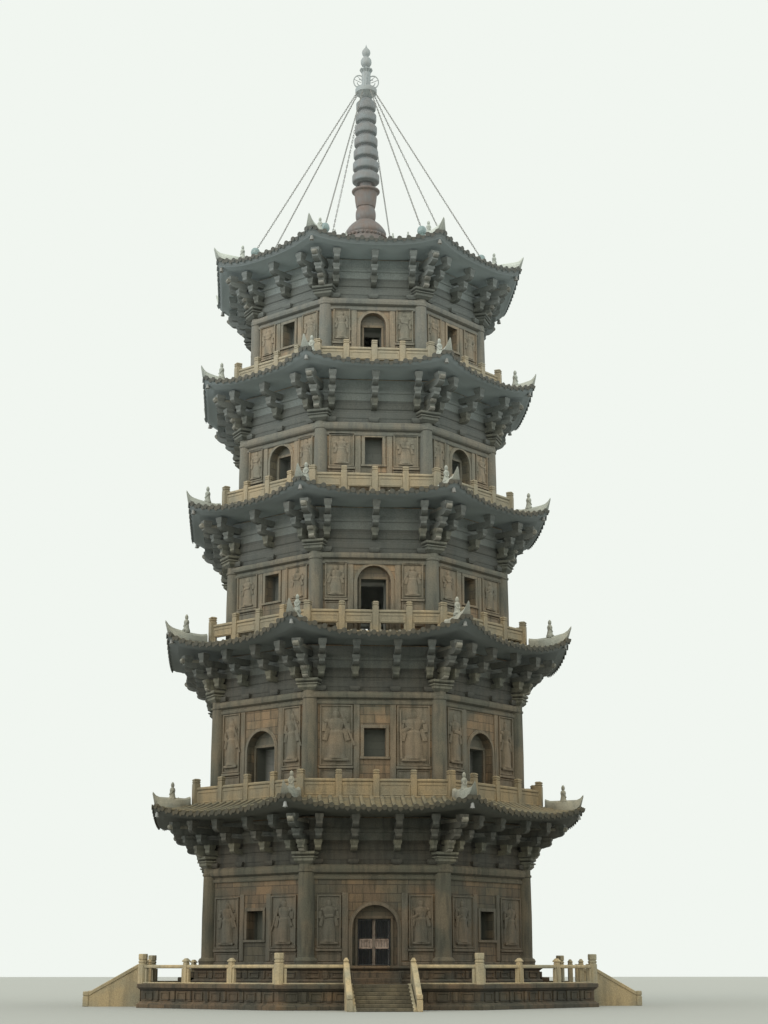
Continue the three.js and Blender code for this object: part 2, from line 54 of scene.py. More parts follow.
# %% The tower's sizes in metres
MODEL_SCALE = 0.5
SIDES = 8
STEP = math.tau / SIDES
CORNER = math.cos(STEP / 2)
HALF_SIDE = math.tan(STEP / 2)
ALL_SIDES = [Matrix.Rotation(STEP * i, 4, "Z") for i in range(SIDES)]
ALL_CORNERS = [Matrix.Rotation(STEP * (i + 0.5), 4, "Z") for i in range(SIDES)]
MAIN_SIDES = ALL_SIDES[::2]

STOREYS = [
    dict(floor=1.73, apothem=7.04, column=0.37, turn=0, sets=2, lintel=(5.47, 5.89), top=7.86,
         arch=(1.91, 4.21), door=(1.40, 3.65), niche=(0.95, 2.80, 4.00), panel=(2.45, 4.61)),
    dict(floor=8.60, apothem=6.84, column=0.35, turn=1, sets=2, lintel=(12.90, 13.26), top=15.29,
         arch=(1.70, 11.75), door=(1.40, 11.07), niche=(0.94, 10.43, 11.66), panel=(10.05, 12.65)),
    dict(floor=15.80, apothem=6.32, column=0.33, turn=0, sets=1, lintel=(19.23, 19.56), top=21.66,
         arch=(1.51, 18.97), door=(1.12, 18.43), niche=(0.85, 17.63, 18.88), panel=(17.50, 19.08)),
    dict(floor=22.20, apothem=5.88, column=0.31, turn=1, sets=1, lintel=(25.33, 25.76), top=27.84,
         arch=(1.35, 25.07), door=(0.98, 24.63), niche=(0.80, 23.76, 25.05), panel=(23.66, 25.20)),
    dict(floor=28.45, apothem=5.45, column=0.30, turn=0, sets=1, lintel=(31.58, 31.95), top=33.93,
         arch=(1.20, 31.25), door=(0.82, 30.67), niche=(0.75, 30.08, 31.23), panel=(29.82, 31.42)),
]
ROOFS = [
    dict(eave=9.50, edge=8.03, tip=(10.36, 9.15), ridge=0.42),
    dict(eave=9.10, edge=15.42, tip=(10.02, 16.85), ridge=0.6),
    dict(eave=8.30, edge=21.84, tip=(9.19, 23.03), ridge=0.42),
    dict(eave=7.80, edge=28.03, tip=(8.64, 29.23), ridge=0.36),
    dict(eave=7.30, edge=34.20, tip=(8.14, 35.30), ridge=0.31),
]
RAILINGS = [
    dict(apothem=7.70, rail=9.41, post=9.80, slot=0.0),
    dict(apothem=7.15, rail=16.81, post=17.19, slot=0.35),
    dict(apothem=6.69, rail=23.14, post=23.46, slot=0.24),
    dict(apothem=6.25, rail=29.27, post=29.62, slot=0.15),
]
print("storeys from", STOREYS[0]["floor"], "m to", ROOFS[-1]["edge"], "m")

# %% [markdown]
# ## Stone, tile and iron
# A colour listed here is in sRGB, and the renderer adds up light in linear values, so one
# function turns a hex colour into the linear one. A second adds a node with its settings and links.
# Two more begin and end a material, as every one starts empty and ends in a bumpy surface.

# %% Helpers for materials
def linear(hex_colour):
    """An sRGB hex colour as linear red, green, blue and alpha."""
    parts = [int(hex_colour[i : i + 2], 16) / 255 for i in (1, 3, 5)]
    return (*[c / 12.92 if c <= 0.04045 else ((c + 0.055) / 1.055) ** 2.4 for c in parts], 1)


def add_node(tree, kind, inputs=(), **settings):
    """Adds a node. Each input is a value, or another node's output to link."""
    made = tree.nodes.new(kind)
    for name, value in settings.items():
        setattr(made, name, value)
    for socket, value in dict(inputs).items():
        if isinstance(value, bpy.types.NodeSocket):
            tree.links.new(value, made.inputs[socket])
        else:
            made.inputs[socket].default_value = value
    return made


def empty_material(name):
    """A material with no nodes yet, and its node tree."""
    made = bpy.data.materials.new(name)
    made.use_nodes = True
    made.node_tree.nodes.clear()
    return made, made.node_tree


def show_surface(tree, sockets, bump):
    """Ends a material: a principled surface with a bump, joined to the output."""
    sockets["Normal"] = add_node(tree, "ShaderNodeBump", bump).outputs[0]
    surface = add_node(tree, "ShaderNodeBsdfPrincipled", sockets).outputs[0]
    add_node(tree, "ShaderNodeOutputMaterial", {"Surface": surface})


print("tan granite", [round(c, 3) for c in linear("#8d7a62")])

# %% [markdown]
# ### How a surface is mixed
# A weathered surface is a stack of thin layers: one colour shows through another by a share, and the
# whole gets lighter or darker by a factor. Three helpers say just that. Places are measured in metres
# of the real tower, so that the scale of a pattern is simply one over its real width.

# %% Colour layers and the place on the tower
def colour_over(tree, share, below, above, blend="MIX"):
    """One colour over another, by a share from 0 to 1."""
    sockets = {0: share, 6: below, 7: above}
    return add_node(tree, "ShaderNodeMix", sockets, data_type="RGBA", blend_type=blend).outputs[2]


def stretched(tree, value, low, high, to_low=0.0, to_high=1.0):
    """A value moved from one range to another, and kept inside it."""
    names = {"Value": value, "From Min": low, "From Max": high, "To Min": to_low, "To Max": to_high}
    return add_node(tree, "ShaderNodeMapRange", names).outputs[0]


def shaded(tree, colour, factor):
    """A colour made lighter or darker by a factor."""
    sockets = {0: colour, "Scale": factor}
    return add_node(tree, "ShaderNodeVectorMath", sockets, operation="SCALE").outputs[0]


def place_in_metres(tree, stretch=(1, 1, 1)):
    """Object coordinates in metres of the real tower, with the pattern drawn out along an axis."""
    here = add_node(tree, "ShaderNodeTexCoord").outputs["Object"]
    scale = [s / MODEL_SCALE for s in stretch]
    return add_node(tree, "ShaderNodeMapping", {"Vector": here, "Scale": scale}).outputs[0]


def noise(tree, place, width, detail=4):
    """Cloudy noise whose blots are about as wide as given, in metres."""
    sockets = {"Vector": place, "Scale": 1 / width, "Detail": detail}
    return add_node(tree, "ShaderNodeTexNoise", sockets).outputs["Fac"]


print("colour layers ready")

# %% [markdown]
# ### Granite that has stood in the rain
# Hewn granite is speckled, laid in courses, and weathers from the top down: rain leaves grey-green
# streaks under ledges. The stone darkens towards its foot, from damp and as painted shade of the eaves
# and trees, and high up it turns a paler, cooler grey as painted haze light. Faces that look down get
# painted shade and faces that look up painted light. Undersides have colours of their own: painted shade
# low on the tower, painted light high up and near the wall. Each layer has its real scale: courses of
# blocks 360 mm high, streaks about 220 mm wide that run down, blotches 1.5 m across, and crystals a few
# millimetres wide, drawn at 40 mm so that they still show. Blocks lie along each wall, whichever way it
# faces, so the pattern follows a direction found from the surface itself: level, and across the way that
# the face looks. In doorways and niches the stone darkens with depth as painted shade, and the rooms are
# limewashed, so we also measure how deep a point lies in the wall. The wall's face steps in at each
# storey, and a ramp over height holds that.

# %% The granite material
BLOCK = dict(length=0.95, height=0.36, joint=0.014)
STREAK_WIDTH = 0.22
BLOTCH_WIDTH = 1.5
GRAIN_WIDTH = 0.04
GRANITE_IOR = 1.54
DAMP_AND_SHADE_TOP = 27.0  # the height in metres above which there is no more damp and painted shade at the foot
HAZE_HEIGHTS = dict(low=8.0, high=36.0)  # the heights in metres where the painted haze light starts and ends
TALLEST, WIDEST = 40.0, 10.0  # metres that stand for 1 on the ramp over height
LIMEWASH = "#dcddd8"
RECESS_SHADE_LOW, RECESS_SHADE_HIGH = "#505249", "#858a86"  # painted shade inside a doorway, low and high on the tower


def course_pattern(tree, place, height, normal):
    """Blocks in courses along an upright face, as a brick texture node."""
    level = add_node(tree, "ShaderNodeVectorMath", {0: (0, 0, 1), 1: normal}, operation="CROSS_PRODUCT")
    sockets = {0: level.outputs[0], 1: place}
    along = add_node(tree, "ShaderNodeVectorMath", sockets, operation="DOT_PRODUCT").outputs["Value"]
    flat = add_node(tree, "ShaderNodeCombineXYZ", {"X": along, "Y": height}).outputs[0]
    bricks = {
        "Vector": flat, "Scale": 1, "Color1": (0.76, 0.77, 0.78, 1), "Color2": (1.2, 1.13, 1.04, 1),
        "Mortar": (0.45, 0.45, 0.45, 1), "Mortar Size": BLOCK["joint"], "Mortar Smooth": 0.3,
        "Brick Width": BLOCK["length"], "Row Height": BLOCK["height"],
    }
    return add_node(tree, "ShaderNodeTexBrick", bricks)


def depth_in_wall(tree, place, height):
    """How far a point lies behind the face of its storey's wall, in metres."""
    level = add_node(tree, "ShaderNodeVectorMath", {0: place, 1: (1, 1, 0)}, operation="MULTIPLY").outputs[0]
    radius = add_node(tree, "ShaderNodeVectorMath", {0: level}, operation="LENGTH").outputs["Value"]
    ramp = add_node(tree, "ShaderNodeValToRGB", {"Fac": stretched(tree, height, 0, TALLEST)})
    ramp.color_ramp.interpolation = "CONSTANT"
    steps = ramp.color_ramp.elements
    while len(steps) < len(STOREYS):
        steps.new(0.5)
    for step, storey in zip(steps, STOREYS):
        step.position = (storey["floor"] - 0.5) / TALLEST
        step.color = (*[storey["apothem"] / WIDEST] * 3, 1)
    sockets = {0: ramp.outputs["Color"], 1: WIDEST}
    face = add_node(tree, "ShaderNodeMath", sockets, operation="MULTIPLY").outputs[0]
    return add_node(tree, "ShaderNodeMath", {0: face, 1: radius}, operation="SUBTRACT").outputs[0]


def granite(name, warm, grey, stain, damp_and_shade=0.5, streaks=0.75, courses=True, roughness=0.9, haze_share=0.2,
            haze_colour="#868c8c", painted_recess_shade=False, upright=0.95, sky=1.3, painted_underside=None):
    """Hewn granite: blotches, stained streaks, damp and painted shade at the foot, painted haze at the top.
    """
    made, tree = empty_material(name)
    place = place_in_metres(tree)
    height = add_node(tree, "ShaderNodeSeparateXYZ", {0: place}).outputs["Z"]
    normal = add_node(tree, "ShaderNodeNewGeometry").outputs["True Normal"]
    facing_up = add_node(tree, "ShaderNodeSeparateXYZ", {0: normal}).outputs["Z"]

    blotches = stretched(tree, noise(tree, place, BLOTCH_WIDTH, 6), 0.4, 0.6)
    colour = colour_over(tree, blotches, linear(warm), linear(grey))
    running = noise(tree, place_in_metres(tree, (1, 1, 0.14)), STREAK_WIDTH, 5)
    colour = colour_over(tree, stretched(tree, running, 0.47, 0.72, 0, streaks), colour, linear(stain))
    grain = noise(tree, place, GRAIN_WIDTH, 3)
    relief = grain
    if courses:
        blocks = course_pattern(tree, place, height, normal)
        colour = colour_over(tree, 1.0, colour, blocks.outputs["Color"], "MULTIPLY")
        sockets = {0: blocks.outputs["Fac"], 1: -1.6, 2: grain}
        relief = add_node(tree, "ShaderNodeMath", sockets, operation="MULTIPLY_ADD").outputs[0]
    # Paler and cooler with height: painted haze light, which also lightens the stone in the shade of the
    # eaves.
    pale = stretched(tree, height, HAZE_HEIGHTS["low"], HAZE_HEIGHTS["high"], 0, haze_share)
    colour = colour_over(tree, pale, colour, linear(haze_colour))
    colour = shaded(tree, colour, stretched(tree, grain, 0.3, 0.7, 0.8, 1.2))
    # Darker towards the foot: damp, and painted shade of the eaves and trees.
    colour = shaded(tree, colour, stretched(tree, height, 1.0, DAMP_AND_SHADE_TOP, damp_and_shade, 1.0))
    # Faces that look down are darker as painted shade, faces that look up lighter as painted light.
    colour = shaded(tree, colour, stretched(tree, facing_up, -0.9, 0, 0.6, upright))
    colour = shaded(tree, colour, stretched(tree, facing_up, 0, 0.9, 1, sky / upright))
    rising = stretched(tree, height, HAZE_HEIGHTS["low"], HAZE_HEIGHTS["high"])
    depth = depth_in_wall(tree, place, height) if painted_recess_shade or painted_underside else None
    # Undersides get painted shade low on the tower and painted light high up and towards the wall.
    if painted_underside:
        below = colour_over(tree, rising, *[linear(shade) for shade in painted_underside])
        below = shaded(tree, below, stretched(tree, depth, -1.7, -0.2, 1, 1.8))
        below = colour_over(tree, stretched(tree, depth, 0.9, 1.3), below, linear(LIMEWASH))
        colour = colour_over(tree, stretched(tree, facing_up, -0.6, -0.2, 1, 0), colour, below)
    # Doorways and niches darken with depth in the wall: painted shade.
    if painted_recess_shade:
        deep_shade = colour_over(tree, rising, linear(RECESS_SHADE_LOW), linear(RECESS_SHADE_HIGH))
        colour = colour_over(tree, stretched(tree, depth, 0.28, 0.50), colour, deep_shade)
        colour = colour_over(tree, stretched(tree, depth, 0.9, 1.3), colour, linear(LIMEWASH))

    dents = {"Height": relief, "Strength": 0.6, "Distance": 0.01}
    show_surface(tree, {"Base Color": colour, "Roughness": roughness, "IOR": GRANITE_IOR}, dents)
    return made


# Hewn wall granite: pinkish tan where it is clean, olive grey where algae grow.
# Its foot is the darkest of all: damp, and painted shade of the first eave and the trees.
WALL_STONE = granite("hewn_granite", "#a58c6d", "#7f7a67", "#54523f", damp_and_shade=0.31, haze_share=0.28, painted_recess_shade=True)
# Carved relief on the walls: the same stone, cleaner, cut from single blocks and so without courses.
RELIEF_STONE = granite("carved_granite", "#9c8a70", "#85806f", "#5a5644", damp_and_shade=0.34, courses=False,
                       haze_share=0.25)
# Columns and lintels: grey granite with lichen where the eaves keep it damp.
LINTEL_STONE = granite("lichened_granite", "#82765f", "#6a6857", "#45453a", damp_and_shade=0.5, courses=False,
                       haze_share=0.55)
# Bracket sets: the same granite, dark right under the eaves as painted shade.
BRACKET_STONE = granite("shade_darkened_bracket_granite", "#68655a", "#5c5f58", "#3d3f39", damp_and_shade=0.7, courses=False,
                        haze_share=0.9, haze_colour="#848a88")
# The foot of the wall between the sets: warm stone, darkened as painted shade.
BRACKET_WALL_STONE = granite("shade_darkened_wall_granite", "#524c40", "#4e4d44", "#35352e", damp_and_shade=0.72, courses=False,
                             haze_share=0.85, haze_colour="#777d7a")
# The lowest lift of each set, which the sun reaches: the same stone, painted paler as painted light.
BRACKET_FOOT_STONE = granite("sunlit_bracket_granite", "#827d69", "#6f6f61", "#4c4d43", damp_and_shade=0.7,
                             courses=False, haze_share=0.85, haze_colour="#626866")
# The wall high up behind the sets: paler than the arms in front of it, as painted light in the shade.
SHADED_STONE = granite("painted_light_upper_wall_granite", "#6a685d", "#5e6058", "#484b44", damp_and_shade=0.8, courses=False,
                       haze_share=1.0, haze_colour="#979f9d")
# The tongues at the corners of the bracket sets: fresh stone, as they were renewed.
TONGUE_STONE = granite("renewed_granite", "#9d9888", "#8a8779", "#656155", damp_and_shade=0.8, courses=False,
                       haze_share=0.6, haze_colour="#7d8180")
# Stairs and their rails: sawn pale granite, the lightest stone on the tower.
PALE_STONE = granite("sawn_pale_granite", "#c0ab83", "#a49c82", "#77705a", damp_and_shade=0.82, streaks=0.5,
                     courses=False, roughness=0.82)
# Balcony railings: the same granite, browned by the rain that drips off the eaves.
BALCONY_STONE = granite("browned_pale_granite", "#aa946d", "#91876d", "#6a634d", damp_and_shade=0.6, streaks=0.5,
                        courses=False, roughness=0.82, haze_share=0.6, haze_colour="#b3b0a1")
# Stair treads: the same granite, dark with feet and damp.
TREAD_STONE = granite("trodden_granite", "#7d7259", "#655e4b", "#4b4738", damp_and_shade=0.7, courses=False)
# Roof slabs carved as tiles: undersides and upright faces darker as painted shade, undersides paler
# high up and near the wall as painted light, and faces to the sky paler, as lichen and painted light.
TILE_STONE = granite("carved_stone_tile", "#6e644d", "#5e5a49", "#3f423a", damp_and_shade=0.85, streaks=0.6,
                     courses=False, roughness=0.85, haze_share=0.5, upright=0.55, sky=1.9,
                     painted_underside=("#45463f", "#8a9497"))
# Horns and hip ridges: the same stone with thick pale lichen all over, paler on top and high up as painted
# light.
HORN_STONE = granite("lichened_ridge_stone", "#8b8675", "#7d7f74", "#5a5d55", damp_and_shade=0.95, streaks=0.5,
                     courses=False, roughness=0.85, haze_share=0.8, haze_colour="#b6bcb5", upright=0.95, sky=1.7)
print("granite materials:", [m.name for m in bpy.data.materials if "granite" in m.name or "tile" in m.name])

# %% [markdown]
# ### Cast iron and paint
# The finial is cast iron that has stood in the rain for centuries. Its skin is a dull grey oxide with
# brown rust in soft clouds, most of all low down, where it stays wet. Rust isn't a metal, so the same
# noise that mixes the colours also turns the metallic part down. The gate is bar iron under black
# paint, with pale paint on its plates, and the balls at the feet of the chains are glazed clay.

# %% The iron and paint materials
RUST_WIDTH = 0.45
RUN_WIDTH = 0.09
PIT_WIDTH = 0.03
CHIP_WIDTH = 0.12


def rusted_iron(name, skin, rust, pale, share=0.55):
    """Cast iron: a worn grey skin, brown rust in clouds, and pale runs of lime and dust."""
    made, tree = empty_material(name)
    place = place_in_metres(tree)
    clouds = stretched(tree, noise(tree, place, RUST_WIDTH, 7), 0.3, 0.7, 0, share)
    colour = colour_over(tree, clouds, linear(skin), linear(rust))
    runs = noise(tree, place_in_metres(tree, (1, 1, 0.3)), RUN_WIDTH, 4)
    colour = colour_over(tree, stretched(tree, runs, 0.5, 0.75, 0, 0.35), colour, linear(pale))
    pits = {"Height": noise(tree, place, PIT_WIDTH, 4), "Strength": 0.5, "Distance": 0.004}
    shader = {
        "Base Color": colour,
        "Metallic": stretched(tree, clouds, 0, 1, 0.3, 0.0),
        "Roughness": stretched(tree, clouds, 0, 1, 0.6, 0.85),
    }
    show_surface(tree, shader, pits)
    return made


def worn_paint(name, paint, chipped, share=0.35, roughness=0.45):
    """Brushed paint on iron or stone, chipped and dusty in patches."""
    made, tree = empty_material(name)
    place = place_in_metres(tree)
    chips = stretched(tree, noise(tree, place, CHIP_WIDTH, 8), 0.62 - 0.2 * share, 0.68)
    colour = colour_over(tree, chips, linear(paint), linear(chipped))
    shader = {"Base Color": colour, "Roughness": stretched(tree, chips, 0, 1, roughness, 0.8)}
    show_surface(tree, shader, {"Height": chips, "Strength": 0.3, "Distance": 0.001})
    return made


# The bowl, barrel and cup: reddish-brown rust over the grey skin.
CUP_IRON = rusted_iron("cast_iron_brown", "#7a7b7b", "#7f6d63", "#93918e", share=0.9)
# The wheels: dull grey oxide with a little rust.
WHEEL_IRON = rusted_iron("cast_iron_grey", "#858d8f", "#8b837f", "#9da2a3", share=0.6)
# The disc, crown and gourd: the palest iron, washed by every rain.
CROWN_IRON = rusted_iron("cast_iron_pale", "#a2aaab", "#a39f9b", "#b6bcbc", share=0.4)
# The chains: forged links, greyer, because they rub.
CHAIN_IRON = rusted_iron("forged_chain_iron", "#9a9d9a", "#7d736a", "#b3b5b1", share=0.5)
# The gate's bars: black paint over bar iron.
BLACK_PAINT = worn_paint("black_painted_iron", "#26282a", "#4b4138")
# The gate's plates: an old pinkish-cream paint, patchy.
CREAM_PAINT = worn_paint("cream_painted_iron", "#a08c7c", "#6c5a4c", share=0.7, roughness=0.6)
# The gate's middle stile: the same paint, more worn.
STILE_PAINT = worn_paint("worn_stile_paint", "#85786a", "#5b5048", share=0.8, roughness=0.65)
# The balls at the feet of the chains: clay under a pale blue-green glaze, which is smooth glass.
GLAZE = worn_paint("celadon_glaze", "#8c9f9f", "#78867f", share=0.2, roughness=0.15)
print("materials:", len(bpy.data.materials))

# %% [markdown]
# ## Shape helpers
# Masons work from a block and repeat it. We do the same: make one block, slab or turned piece with a
# mesh operator, then set copies of it round the tower. The front of the tower faces -Y, so each part
# is made on the front side and turned from there.

# %% Blocks, slabs and copies
def chamfered(shape, width):
    """Takes the sharp edges off a shape."""
    bmesh.ops.bevel(shape, geom=shape.edges[:], offset=width, segments=1, profile=0.5, affect="EDGES",
                    material=-1)
    return shape


def block(low, high, chamfer=0.0):
    """A dressed block between its lowest and highest corners."""
    low, high = Vector(low), Vector(high)
    place = Matrix.Translation((low + high) / 2) @ Matrix.Diagonal((*(high - low), 1))
    shape = bmesh.new()
    bmesh.ops.create_cube(shape, size=1, matrix=place)
    return chamfered(shape, chamfer) if chamfer else shape


def slab(outline, width, middle=0.0):
    """An upright slab on the front side, cut to an outline of (distance from the axis, height)."""
    shape = bmesh.new()
    rim = [shape.verts.new((middle - width / 2, -distance, z)) for distance, z in outline]
    side = shape.faces.new(rim)
    grown = bmesh.ops.extrude_face_region(shape, geom=[side])["geom"]
    far = [v for v in grown if isinstance(v, bmesh.types.BMVert)]
    bmesh.ops.translate(shape, vec=(width, 0, 0), verts=far)
    bmesh.ops.recalc_face_normals(shape, faces=shape.faces)
    return shape


def stamped(shape, part, places):
    """Adds a copy of a part to a shape at each place, and uses the part up."""
    pattern = bpy.data.meshes.new("pattern")
    part.to_mesh(pattern)
    part.free()
    for place in places:
        copy = pattern.copy()
        copy.transform(place)
        shape.from_mesh(copy)
        bpy.data.meshes.remove(copy)
    bpy.data.meshes.remove(pattern)
    return shape


def gathered(*parts):
    """Several parts as one shape, each left where it is."""
    shape = bmesh.new()
    for part in parts:
        stamped(shape, part, [Matrix()])
    return shape


def moved(x=0.0, y=0.0, z=0.0):
    """A place shifted by x, y and z."""
    return Matrix.Translation((x, y, z))


trial = block((0, 0, 0), (1, 1, 1), 0.02)
print("a chamfered block has", len(trial.faces), "faces")
trial.free()

# %% [markdown]
# ## Turned and draped pieces
# A baluster, a bowl or a round column is a line spun about an axis. An octagonal moulding is the same
# line spun in eight steps. Tiles, ridges and arch bands bend, so those start as a flat grid whose
# points are then laid along a path, as one would drape a strip of clay.

# %% Lathe, octagonal mouldings and draped grids
def lathe(profile, segments=32, start=0.0):
    """A turned piece from (radius, height) points that go up."""
    shape = bmesh.new()
    line = [shape.verts.new((r * math.cos(start), r * math.sin(start), z)) for r, z in profile]
    edges = [shape.edges.new(pair) for pair in zip(line, line[1:])]
    bmesh.ops.spin(shape, geom=line + edges, cent=(0, 0, 0), axis=(0, 0, 1), dvec=(0, 0, 0),
                   angle=math.tau, steps=segments, use_merge=True)
    bmesh.ops.remove_doubles(shape, verts=shape.verts, dist=1e-4)
    bmesh.ops.recalc_face_normals(shape, faces=shape.faces)
    return shape


def moulding(profile):
    """An octagonal ring or base from (apothem, height) points that go up, or round a closed line."""
    return lathe([(apothem / CORNER, z) for apothem, z in profile], SIDES, STEP / 2)


def draped(columns, rows, place):
    """A grid laid on a surface: place(across, along) gives each point, both from 0 to 1."""
    shape = bmesh.new()
    bmesh.ops.create_grid(shape, x_segments=columns, y_segments=rows, size=0.5)
    for point in shape.verts:
        point.co = place(point.co.x + 0.5, point.co.y + 0.5)
    return shape


def closed_up(shape):
    """Joins the seams of a draped tube and turns its faces outwards."""
    bmesh.ops.remove_doubles(shape, verts=shape.verts, dist=1e-4)
    bmesh.ops.holes_fill(shape, edges=shape.edges, sides=0)
    bmesh.ops.recalc_face_normals(shape, faces=shape.faces)
    return shape


def finished(shape, name, material, instead_of=(), body="root", crease=38):
    """Halves a shape, gives it its stone or iron, and hangs it on the model in place of CAD nodes."""
    bmesh.ops.scale(shape, vec=[MODEL_SCALE] * 3, verts=shape.verts)
    mesh = bpy.data.meshes.new(name)
    shape.to_mesh(mesh)
    shape.free()
    mesh.materials.append(material)
    mesh.shade_smooth()
    mesh.set_sharp_from_angle(angle=math.radians(crease))
    piece = bpy.data.objects.new(name, mesh)
    bpy.context.scene.collection.objects.link(piece)
    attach(piece, body)
    if instead_of:
        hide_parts(*instead_of)
    print(f"{name}: {sum(len(p.vertices) - 2 for p in mesh.polygons):,} triangles")
    return piece


def dressed(node, material):
    """Gives a node of the measured model its material."""
    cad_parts[node].data.materials.clear()
    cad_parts[node].data.materials.append(material)


for number in range(1, 6):
    dressed(f"wall_{number}", WALL_STONE)
    if number > 1:
        dressed(f"floor_{number}", WALL_STONE)
print("walls and floors keep their measured shape")

# %% [markdown]
# ## Terrace and plinth
# Both stand on a moulded base with a drawn-in waist, as a table stands on its apron: foot course,
# fillet, waist, fillet, coping. Turning one profile in eight steps gives all of them at once. Short
# pilasters divide the waist, and between them sit plain sunk panels.

# %% Moulded bases
TERRACE = dict(apothem=9.98, top=1.00)
PLINTH = dict(apothem=7.70, top=1.73)


def framed_panel(width, low, high, front, border=0.08, proud=0.06):
    """A panel in a raised frame that stands out from a wall at y = front."""
    shape = block((-width / 2, front - proud, low), (width / 2, front + 0.03, high))
    face = min(shape.faces, key=lambda f: f.calc_center_median().y)
    bmesh.ops.inset_individual(shape, faces=[face], thickness=border, depth=0)
    bmesh.ops.inset_individual(shape, faces=[face], thickness=0.02, depth=-0.8 * proud)
    return shape


def waist_panels(apothem, low, high, count, recess):
    """Pilasters and sunk panels along the waist of a base, on the front side."""
    half = apothem * HALF_SIDE
    bay = 2 * half / count
    shape = bmesh.new()
    pilaster = block((-0.11, -apothem - 0.5 * recess, low), (0.11, -apothem + 0.1, high), 0.02)
    stamped(shape, pilaster, [moved(x=-half + bay * i) for i in range(1, count)])
    panel = framed_panel(bay - 0.5, low + 0.05, high - 0.05, -apothem, 0.06, 0.05)
    return stamped(shape, panel, [moved(x=-half + bay * (i + 0.5)) for i in range(count)])


a, top = TERRACE["apothem"], TERRACE["top"]
terrace = moulding([
    (0, 0), (a, 0), (a, 0.15), (a - 0.04, 0.19), (a - 0.10, 0.21), (a - 0.13, 0.26), (a - 0.19, 0.28),
    (a - 0.19, 0.72), (a - 0.15, 0.74), (a - 0.09, 0.77), (a - 0.05, 0.82), (a, 0.84), (a, top - 0.03),
    (a - 0.03, top), (0, top),
])
stamped(terrace, waist_panels(a - 0.19, 0.28, 0.72, 8, 0.12), ALL_SIDES)
finished(terrace, "terrace_base", WALL_STONE, ["terrace"])

a, low, top = PLINTH["apothem"], TERRACE["top"] - 0.005, PLINTH["top"]
plinth = moulding([
    (0, low), (a, low), (a, low + 0.12), (a - 0.05, low + 0.16), (a - 0.13, low + 0.20),
    (a - 0.13, top - 0.20), (a - 0.08, top - 0.16), (a - 0.02, top - 0.12), (a, top - 0.10),
    (a, top - 0.02), (a - 0.02, top), (0, top),
])
stamped(plinth, waist_panels(a - 0.13, low + 0.20, top - 0.20, 6, 0.10), ALL_SIDES)
for rise, front in ((0.243, 8.36), (0.487, 8.03)):
    tread = block((-1.0, -front, low), (1.0, -a + 0.2, TERRACE["top"] + rise), 0.015)
    stamped(plinth, tread, MAIN_SIDES)
finished(plinth, "plinth_base", WALL_STONE, ["plinth"])

# %% [markdown]
# ## Outside stairs
# Each flight has seven steps between two low sloping cheeks. Outside each cheek stands a parapet with a
# pale rail that slopes down to a short newel. The step edges are worn, so each tread is a separate
# chamfered block. Feet keep the treads damp and dark, and so they have a stone of their own.

# %% Stairs
STAIR = dict(half=1.10, risers=7, head=9.981, foot=12.35, cheek=0.14, parapet=0.23)
going = (STAIR["foot"] - STAIR["head"]) / STAIR["risers"]
rise = TERRACE["top"] / STAIR["risers"]
reach = STAIR["half"] + 0.02
for quarter, place in zip(("front", "right", "back", "left"), MAIN_SIDES):
    treads, flight = bmesh.new(), bmesh.new()
    for i in range(STAIR["risers"]):
        nosing = STAIR["foot"] + 0.03 - i * going
        tread = block((-reach, -nosing, rise * i), (reach, -STAIR["head"], rise * (i + 1)), 0.018)
        stamped(treads, tread, [place])
    finished(treads, f"stair_treads_{quarter}", TREAD_STONE)
    head, far = STAIR["head"], STAIR["foot"] - 0.12
    cheek = [(head, 0), (far + 0.16, 0), (far + 0.16, 0.09), (head, TERRACE["top"] + 0.04)]
    panel = [(head, 0), (far, 0), (far, 0.5), (head + 0.1, 1.65), (head, 1.65)]
    rail = [(head, 1.65), (head + 0.1, 1.65), (far, 0.45), (far, 0.62), (head + 0.12, 1.82), (head, 1.82)]
    newel = gathered(
        block((-0.115, -STAIR["foot"] - 0.125, 0), (0.115, -STAIR["foot"] + 0.125, 0.42), 0.015),
        block((-0.10, -STAIR["foot"] - 0.10, 0.42), (0.10, -STAIR["foot"] + 0.10, 0.45)),
        block((-0.115, -STAIR["foot"] - 0.125, 0.45), (0.115, -STAIR["foot"] + 0.125, 0.65), 0.03),
    )
    inside = STAIR["half"] + STAIR["cheek"] / 2
    outside = STAIR["half"] + STAIR["cheek"] + STAIR["parapet"] / 2
    sides = [place @ moved(x=hand * outside) for hand in (-1, 1)]
    low_sides = [place @ moved(x=hand * inside) for hand in (-1, 1)]
    stamped(flight, chamfered(slab(cheek, STAIR["cheek"]), 0.01), low_sides)
    stamped(flight, slab(panel, STAIR["parapet"] - 0.08), sides)
    stamped(flight, chamfered(slab(rail, STAIR["parapet"]), 0.02), sides)
    stamped(flight, newel, sides)
    finished(flight, f"stair_parapets_{quarter}", PALE_STONE, [f"steps_{quarter}"])

# %% [markdown]
# ## Terrace balustrade
# The rail runs between slim square posts with a collar and a pointed cap. It is open down to a low kerb.
# Corner posts have two bands cut round their heads, and short wings under the rail steady them. A balcony
# railing has closed panels instead, with a slot at the foot so that rain runs off.

# %% Balustrade posts, rail and panels
BALUSTRADE = dict(apothem=9.75, thick=0.16, rail=1.77, post=2.04, corner=2.23, end=1.355, slim=0.21,
                  wing=0.11, wing_top=1.62)


